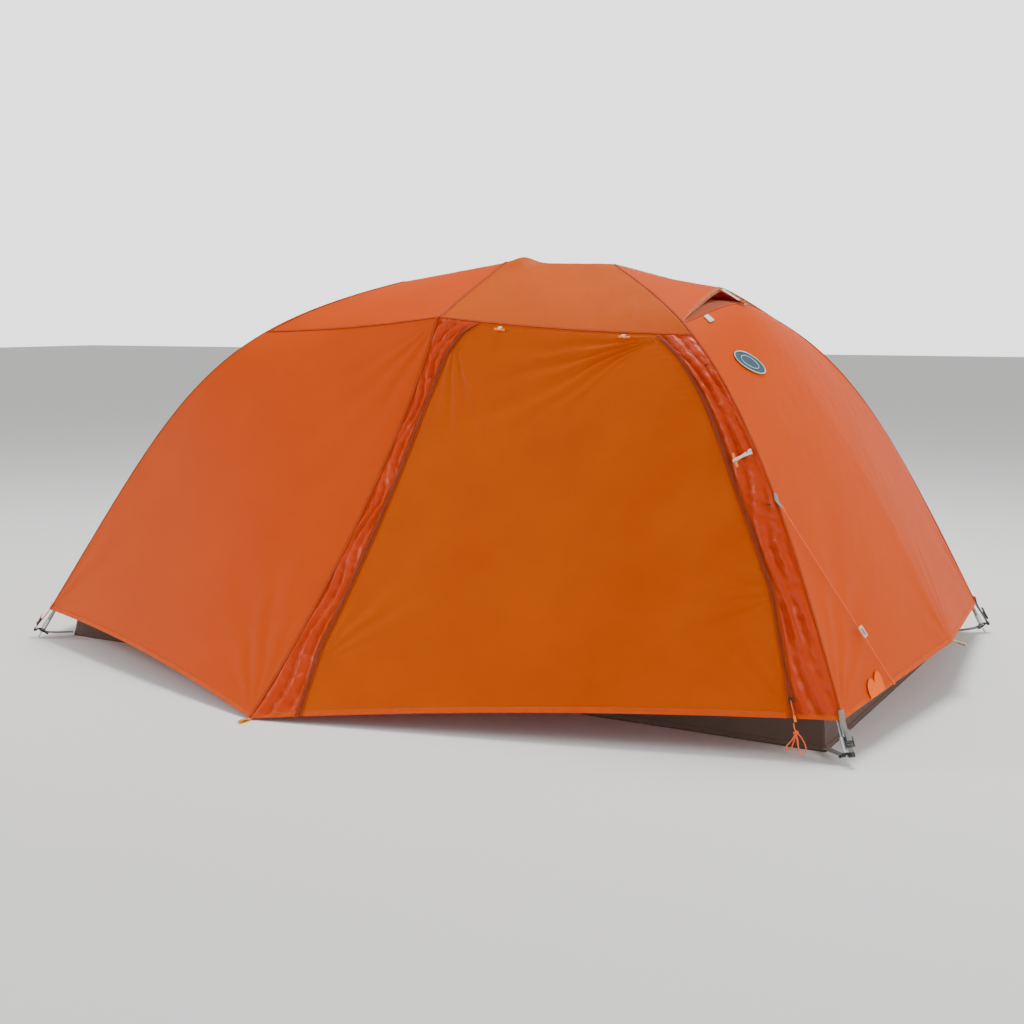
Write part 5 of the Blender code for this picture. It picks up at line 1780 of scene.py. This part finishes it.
def build_loops():
    """Stake loops at the vestibules' points and in the middle of each end's hem."""
    for side in SIDES:
        stake = to_side(np.array(STAKE), side)
        out = unit(to_side(np.array([-0.12, 1.0, 0.0]), side))
        root = np.array([stake[0], stake[1], 0.0022]) + out * 0.001
        name, node = f"stake_webbing_{side}", f"stake_loop_{side}"
        webbing_loop(name, root, out, UP, 0.036, 0.011, "yellow_webbing", node)
    for end in ENDS:
        sign = sign_of(end)
        root = np.array([sign * (END_LOOP_X + 0.001), 0.0, END_LOOP_Z + 0.001])
        out = unit(np.array([sign, 0.0, -0.25]))
        up = unit(np.array([sign * 0.25, 0.0, 1.0]))
        webbing_loop(f"end_webbing_{end}", root, out, up, 0.034, 0.011, "beige_webbing", f"end_loop_{end}")


def toggle(name, place, normal, axis, length, thick, body, loop_root, fly_body, node=None):
    """A moulded bar held by a loop of white elastic."""
    ends = [place + axis * (k * length / 2) for k, _ in TOGGLE_SHAPE]
    bar = loft(
        f"{name}_bar", np.array(ends), circle(thick / 2, 14), "amber_acetal_resin", body, normal,
        taper=[k for _, k in TOGGLE_SHAPE],
    )
    if node:
        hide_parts(node)
    a = loop_root + axis * 0.004
    b = loop_root - axis * 0.004
    over = place + normal * (thick / 2 + 0.0010)
    under = place - normal * (thick / 2 + 0.0006)
    rise = (a + over) / 2 + normal * 0.002
    path = spline([a, rise, over, under + (place - loop_root) * 0.10, (b + under) / 2, b], 34)
    loft(f"{name}_elastic", path, flat_section(0.0060, 0.0013), "white_elastic", fly_body, normal)


def build_toggles():
    """The door's two tie-back toggles under the roof seam, and the one on the strip beside the zip."""
    for side in SIDES:
        for key, u in (("a", 0.265), ("b", 0.745)):
            p, n, along, _ = surface_at(side, u, 0.030)
            root, _, _, _ = surface_at(side, u, DOOR_TOP + 0.001)
            front = side == "front"
            body = f"toggle_{key}" if front else f"door_{side}"
            toggle(
                f"tie_{key}_{side}", p + n * 0.006, n, along, 0.030, 0.0062, body,
                root + n * 0.0030, body if front else f"door_{side}", f"toggle_{key}" if front else None,
            )
        p, n, _, down = surface_at(side, 0.945, 0.50)
        root, _, _, _ = surface_at(side, 0.990, 0.475)
        front = side == "front"
        body = "flap_toggle" if front else "fly"
        toggle(
            f"tie_strip_{side}", p + n * 0.0075, n, down, 0.034, 0.0066, body, root + n * 0.0034,
            body, "flap_toggle" if front else None,
        )


def guy_ends():
    """The storm line's two ends, and the direction it stands off the cloth in."""
    out = np.array([0.86, -0.40, 0.32])
    t = parameter_at("head", 0.500)
    top = to_side(fly_leg("head", t), "front") + out * 0.011
    low = end_surface("head", np.array([0.20]), np.array([parameter_at("head", HEAD_HEM)]))[0]
    return top, low + out * 0.011, out


def build_lines():
    """The storm line with its tab, tensioner and patch, and the spare line tied up in a bow."""
    top, low, out = guy_ends()
    run = unit(low - top)
    path = mixed(top, low, np.linspace(0, 1, 60))
    line = loft("storm_line", path, circle(CORD_RADIUS, 8), "storm_cord", "fly")
    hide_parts("guyline")
    over = unit(np.cross(np.cross(run, out), run))
    m = frame_matrix(mixed(top, low, 0.70) + over * 0.0048, run, out)
    holes = [((0.0, 0.0, 0.0), (0.017, 0.0048, 0.02))]
    piece = block("tensioner", (0.028, 0.013, 0.0042), m, "beige_acetal_resin", "tensioner", 0.0012, 3, holes)
    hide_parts("guy_tensioner")
    t = parameter_at("head", 0.512)
    seam = to_side(fly_leg("head", t), "front")
    tab = [seam - np.array([0.004, -0.010, -0.016]), seam + out * 0.004, top + run * 0.004 + out * 0.001]
    loft("guy_tab", spline(tab, 20), flat_section(0.011, 0.0014), "grey_webbing", "fly", out)
    knot = [top + run * (0.002 + 0.010 * k) for k in np.linspace(0, 1, 14)]
    swell = [0.6 + 0.9 * abs(math.sin(k * 3.2)) + 0.3 for k in np.linspace(0.2, 2.9, 14)]
    loft("guy_knot", knot, circle(0.0019, 10), "storm_cord", "fly", taper=swell)
    knot = [low - run * (0.001 + 0.009 * k) for k in np.linspace(0, 1, 12)]
    loft("guy_low_knot", knot, circle(0.0019, 10), "storm_cord", "fly", taper=KNOT_SHAPE)
    build_patch()
    build_bow()


def build_patch():
    """The bright two-lobed reinforcement where the storm line meets the hem."""
    hem_at = parameter_at("head", HEAD_HEM)
    first = parameter_at("head", 0.150)
    w, v = np.meshgrid(np.linspace(0.112, 0.172, 40), np.linspace(0, 1, 24), indexing="ij")
    lobes = np.abs(np.sin((w - 0.112) / 0.060 * 2 * math.pi)) ** 0.5
    tall = 0.30 + lobes * (0.22 + 0.18 * (w - 0.112) / 0.060)
    t = hem_at - (hem_at - first) * v * tall
    grid = end_surface("head", w, t)
    normal = grid_normals(grid)
    s, q, *_ = measured(grid)
    grid = grid + normal * (0.0026 + 0.0014 * np.abs(rumple(s, q, 0.018, 95)))[..., None]
    piece = show("tie_patch", mesh_of_grid("tie_patch", grid, s, q, normal), "orange_patch_nylon", "fly")
    thicken(piece, 0.0010)


def build_bow():
    """The spare line, tied in a bow at the front corner of the head end."""
    c = np.array([1.080, -0.752, 0.046])
    x = unit(np.array([1.0, 0.15, 0.0]))
    y = np.cross(UP, x)
    shape = [
        (-0.006, 0.034, 0.000), (-0.004, 0.022, 0.003), (0.000, 0.014, 0.004), (0.010, 0.004, 0.006),
        (0.019, -0.012, 0.003), (0.020, -0.024, -0.001), (0.013, -0.028, -0.004), (0.006, -0.014, -0.005),
        (0.001, 0.010, -0.004), (-0.004, 0.015, 0.001), (0.001, 0.017, 0.005), (0.004, 0.013, 0.001),
        (-0.002, 0.010, -0.005), (-0.009, -0.002, -0.004), (-0.018, -0.014, -0.001), (-0.021, -0.022, 0.003),
        (-0.014, -0.026, 0.005), (-0.007, -0.012, 0.004), (-0.001, 0.008, 0.004), (0.003, 0.015, -0.001),
        (-0.002, 0.017, -0.004), (-0.005, 0.012, 0.002), (0.001, 0.004, 0.006), (0.004, -0.014, 0.006),
        (0.002, -0.031, 0.004),
    ]
    points = np.array([c + x * a + UP * b + y * d for a, b, d in shape])
    path = spline(points, 170)
    bow = loft("spare_bow", path, circle(CORD_RADIUS, 8), "storm_cord", "fly")
    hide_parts("spare_line")


def build_badge():
    """A plain oval patch with a stitched border, high on the head end."""
    place = bpy.context.scene.tent_badge
    hem_at = parameter_at("head", HEAD_HEM)
    e = 0.002
    w0, t0 = place.across, place.down
    p = end_surface("head", np.array([w0, w0 + e, w0]), np.array([t0, t0, t0 + e]))
    du, dv = (p[1] - p[0]) / e, (p[2] - p[0]) / e
    turn = math.radians(place.turn)
    r, a = np.meshgrid(np.linspace(0.0, 1.0, 16), np.linspace(0, 2 * math.pi, 65), indexing="ij")

    def oval(radius, angle, lift):
        x = place.width / 2 * radius * np.cos(angle)
        y = place.height / 2 * radius * np.sin(angle)
        across = x * math.cos(turn) - y * math.sin(turn)
        down = x * math.sin(turn) + y * math.cos(turn)
        w = w0 + across / np.linalg.norm(du)
        t = np.clip(t0 + down / np.linalg.norm(dv), 0.0, hem_at)
        grid = end_surface("head", w, t)
        flat = unit(np.cross(du, dv))
        flat = flat * np.sign(flat[0])
        return grid + flat * lift, flat

    grid, flat = oval(r, a, 0.0022)
    s = r * np.cos(a) * place.width / 2
    q = r * np.sin(a) * place.height / 2
    facing = np.repeat(np.repeat(flat[None, None], 16, 0), 65, 1)
    piece = show("badge", mesh_of_grid("badge", grid, s, q, facing), "badge_cloth", "fly")
    thicken(piece, 0.0008)
    rim, _ = oval(np.ones(64), np.linspace(0, 2 * math.pi, 64, endpoint=False), 0.0030)
    loft("badge_border", rim, circle(0.0012, 8), "badge_border", "fly", flat, closed=True)
    arc, _ = oval(np.full(40, 0.58), np.linspace(0, 2 * math.pi, 40, endpoint=False), 0.0031)
    loft("badge_inner_ring", arc, circle(0.0008, 6), "badge_border", "fly", flat, closed=True)


def build_stage():
    """A pale floor, soft studio light and the camera."""
    stage = bpy.context.scene.tent_stage
    bm = bmesh.new()
    bmesh.ops.create_grid(bm, x_segments=1, y_segments=1, size=FLOOR_SIZE)
    mesh = mesh_from(bm, "floor")
    floor = put("floor", mesh)
    mesh.transform(Matrix.Translation((0, 0, -0.0005)))
    mesh.materials.append(MATERIALS["pale_floor"])
    world = bpy.data.worlds.new("studio")
    bpy.context.scene.world = world
    world.use_nodes = True
    tree = world.node_tree
    place = add_node(tree, "ShaderNodeTexCoord")
    parts = add_node(tree, "ShaderNodeSeparateXYZ", {0: place.outputs["Generated"]})
    glow = add_node(
        tree,
        "ShaderNodeMapRange",
        {
            "Value": parts.outputs["Z"],
            "From Min": BACKDROP_LOW,
            "From Max": BACKDROP_HIGH,
            "To Min": stage.backdrop,
            "To Max": stage.sky,
        },
    )
    tree.links.new(glow.outputs[0], tree.nodes["Background"].inputs["Strength"])
    tree.nodes["Background"].inputs["Color"].default_value = (1.0, 1.0, 1.0, 1.0)
    for name, place, target, size in LAMPS:
        light = bpy.data.lights.new(name, "AREA")
        light.energy = getattr(stage, name)
        light.size = size
        lamp = put(name, light)
        lamp.location = place
        aim = Vector(target) - Vector(place)
        lamp.rotation_euler = aim.to_track_quat("-Z", "Y").to_euler()
    data = bpy.data.cameras.new("camera")
    data.lens = CAMERA_LENS
    data.sensor_width = CAMERA_FILM
    data.clip_end = CAMERA_FAR
    camera = put("camera", data)
    camera.location = CAMERA_PLACE
    camera.rotation_euler = (math.pi / 2 - CAMERA_TILT, 0.0, CAMERA_TURN)
    bpy.context.scene.camera = camera


# ---------------------------------------------------------------- settings, operators and panel


def length_property(name, text, default, low, high):
    """A setting in metres."""
    limits = {"min": low, "max": high, "precision": 4}
    return bpy.props.FloatProperty(
        name=name, description=text, default=default, unit="LENGTH", subtype="DISTANCE", **limits
    )


def number_property(name, text, default, low=0.0, high=1000.0):
    """A plain number."""
    return bpy.props.FloatProperty(name=name, description=text, default=default, min=low, max=high)


class TentCloth(bpy.types.PropertyGroup):
    """The fly's cloth."""

    resolution: length_property("Cell", "Size of the cloth's mesh cells", 0.0062, 0.003, 0.05)
    thickness: length_property("Thickness", "Thickness of the fly's cloth", 0.0005, 0.0001, 0.002)
    folds: number_property("Folds", "Height of folds, as a share", 1.0, 0.0, 3.0)


class TentSeams(bpy.types.PropertyGroup):
    """Seams and their stitches."""

    width: length_property("Seam width", "Width of a sewn seam", 0.009, 0.004, 0.03)
    spacing: length_property("Stitch spacing", "Distance between stitches", 0.0040, 0.002, 0.02)
    stitch: length_property("Stitch length", "Length of one stitch", 0.0027, 0.001, 0.01)


class TentZips(bpy.types.PropertyGroup):
    """Zip tapes and coils."""

    tape: length_property("Tape width", "Width of the zip's tape on each side", 0.0080, 0.004, 0.03)
    pitch: length_property("Coil pitch", "Distance between the coil's turns", 0.0026, 0.001, 0.01)


class TentPoles(bpy.types.PropertyGroup):
    """Sectioned poles."""

    radius: length_property("Pole radius", "Radius of the leg poles", 0.0045, 0.002, 0.01)
    section: length_property("Section", "Length of one pole section", 0.34, 0.1, 1.0)


class TentBadge(bpy.types.PropertyGroup):
    """The oval patch on the head end."""

    across: number_property("Across", "Place across the end", 0.2084, 0.0, 1.0)
    down: number_property("Down", "Place down the end", 0.4923, 0.0, 1.0)
    width: length_property("Width", "Width of the patch", 0.128, 0.01, 0.3)
    height: length_property("Height", "Height of the patch", 0.058, 0.01, 0.3)
    turn: number_property("Turn", "Turn of the patch in degrees", 25.0, -180.0, 180.0)


class TentStage(bpy.types.PropertyGroup):
    """The studio's light."""

    sky: number_property("Sky", "Strength of light from above", 0.50)
    backdrop: number_property("Backdrop", "Strength of the walls' light", 2.3)
    left: number_property("Left", "Power of the lamp at the foot end", 120.0)
    right: number_property("Right", "Power of the lamp at the head end", 90.0)
    top: number_property("Top", "Power of the lamp overhead", 220.0)


def operator(idname, label, text, build):
    """An operator that runs one building function."""

    def execute(self, context):
        build()
        return {"FINISHED"}

    return type(
        "TENT_OT_" + idname,
        (bpy.types.Operator,),
        {
            "bl_idname": "tent." + idname,
            "bl_label": label,
            "bl_options": {"REGISTER"},
            "__doc__": text,
            "execute": execute,
        },
    )


PIECES = [
    ("materials", "Materials", "Makes every material", make_materials),
    ("poles", "Pole set", "Builds the poles, hubs and tips", build_poles),
    ("tub", "Tub floor", "Builds the bathtub floor", build_tub),
    ("inner", "Inner tent", "Builds the inner tent", build_inner),
    ("fly", "Fly", "Builds the fly's panels and doors", build_fly_panels),
    ("vent", "Vent", "Builds the vent's hood, netting and strut", build_vent),
    ("seams", "Seams", "Builds the seams and hems", build_seams),
    ("zips", "Zips", "Builds the zips and their sliders", build_zips),
    ("corners", "Corners", "Builds the straps and buckles at the feet", build_corners),
    ("loops", "Loops", "Builds the stake loops", build_loops),
    ("toggles", "Toggles", "Builds the toggles and their elastics", build_toggles),
    ("lines", "Lines", "Builds the storm line and the spare line", build_lines),
    ("badge", "Badge", "Builds the oval patch", build_badge),
    ("stitches", "Stitches", "Sets stitches and coils along their lines", build_stitches),
    ("stage", "Stage", "Builds the floor, lights and camera", build_stage),
]
OPERATORS = [operator(*piece) for piece in PIECES]
SETTINGS = {
    "tent_cloth": TentCloth, "tent_seams": TentSeams, "tent_zips": TentZips, "tent_poles": TentPoles,
    "tent_badge": TentBadge, "tent_stage": TentStage,
}


class TENT_PT_pieces(bpy.types.Panel):
    """Lists the tent's operators and its settings."""

    bl_label = "Tent"
    bl_idname = "TENT_PT_pieces"
    bl_space_type = "VIEW_3D"
    bl_region_type = "UI"
    bl_category = "Tent"

    def draw(self, context):
        for made in OPERATORS:
            self.layout.operator(made.bl_idname)
        for name, group in SETTINGS.items():
            box = self.layout.box()
            for key in group.__annotations__:
                box.prop(getattr(context.scene, name), key)


def register():
    """Adds the settings, the operators and the panel."""
    for made in [*SETTINGS.values(), *OPERATORS, TENT_PT_pieces]:
        bpy.utils.register_class(made)
    for name, group in SETTINGS.items():
        setattr(bpy.types.Scene, name, bpy.props.PointerProperty(type=group))


def unregister():
    """Takes them away again."""
    for name in SETTINGS:
        delattr(bpy.types.Scene, name)
    for made in [TENT_PT_pieces, *OPERATORS[::-1], *list(SETTINGS.values())[::-1]]:
        bpy.utils.unregister_class(made)


def main():
    """Builds the tent piece by piece, and writes its size."""
    register()
    for name, *_ in PIECES:
        getattr(bpy.ops.tent, name)()


if __name__ == "__main__":
    main()
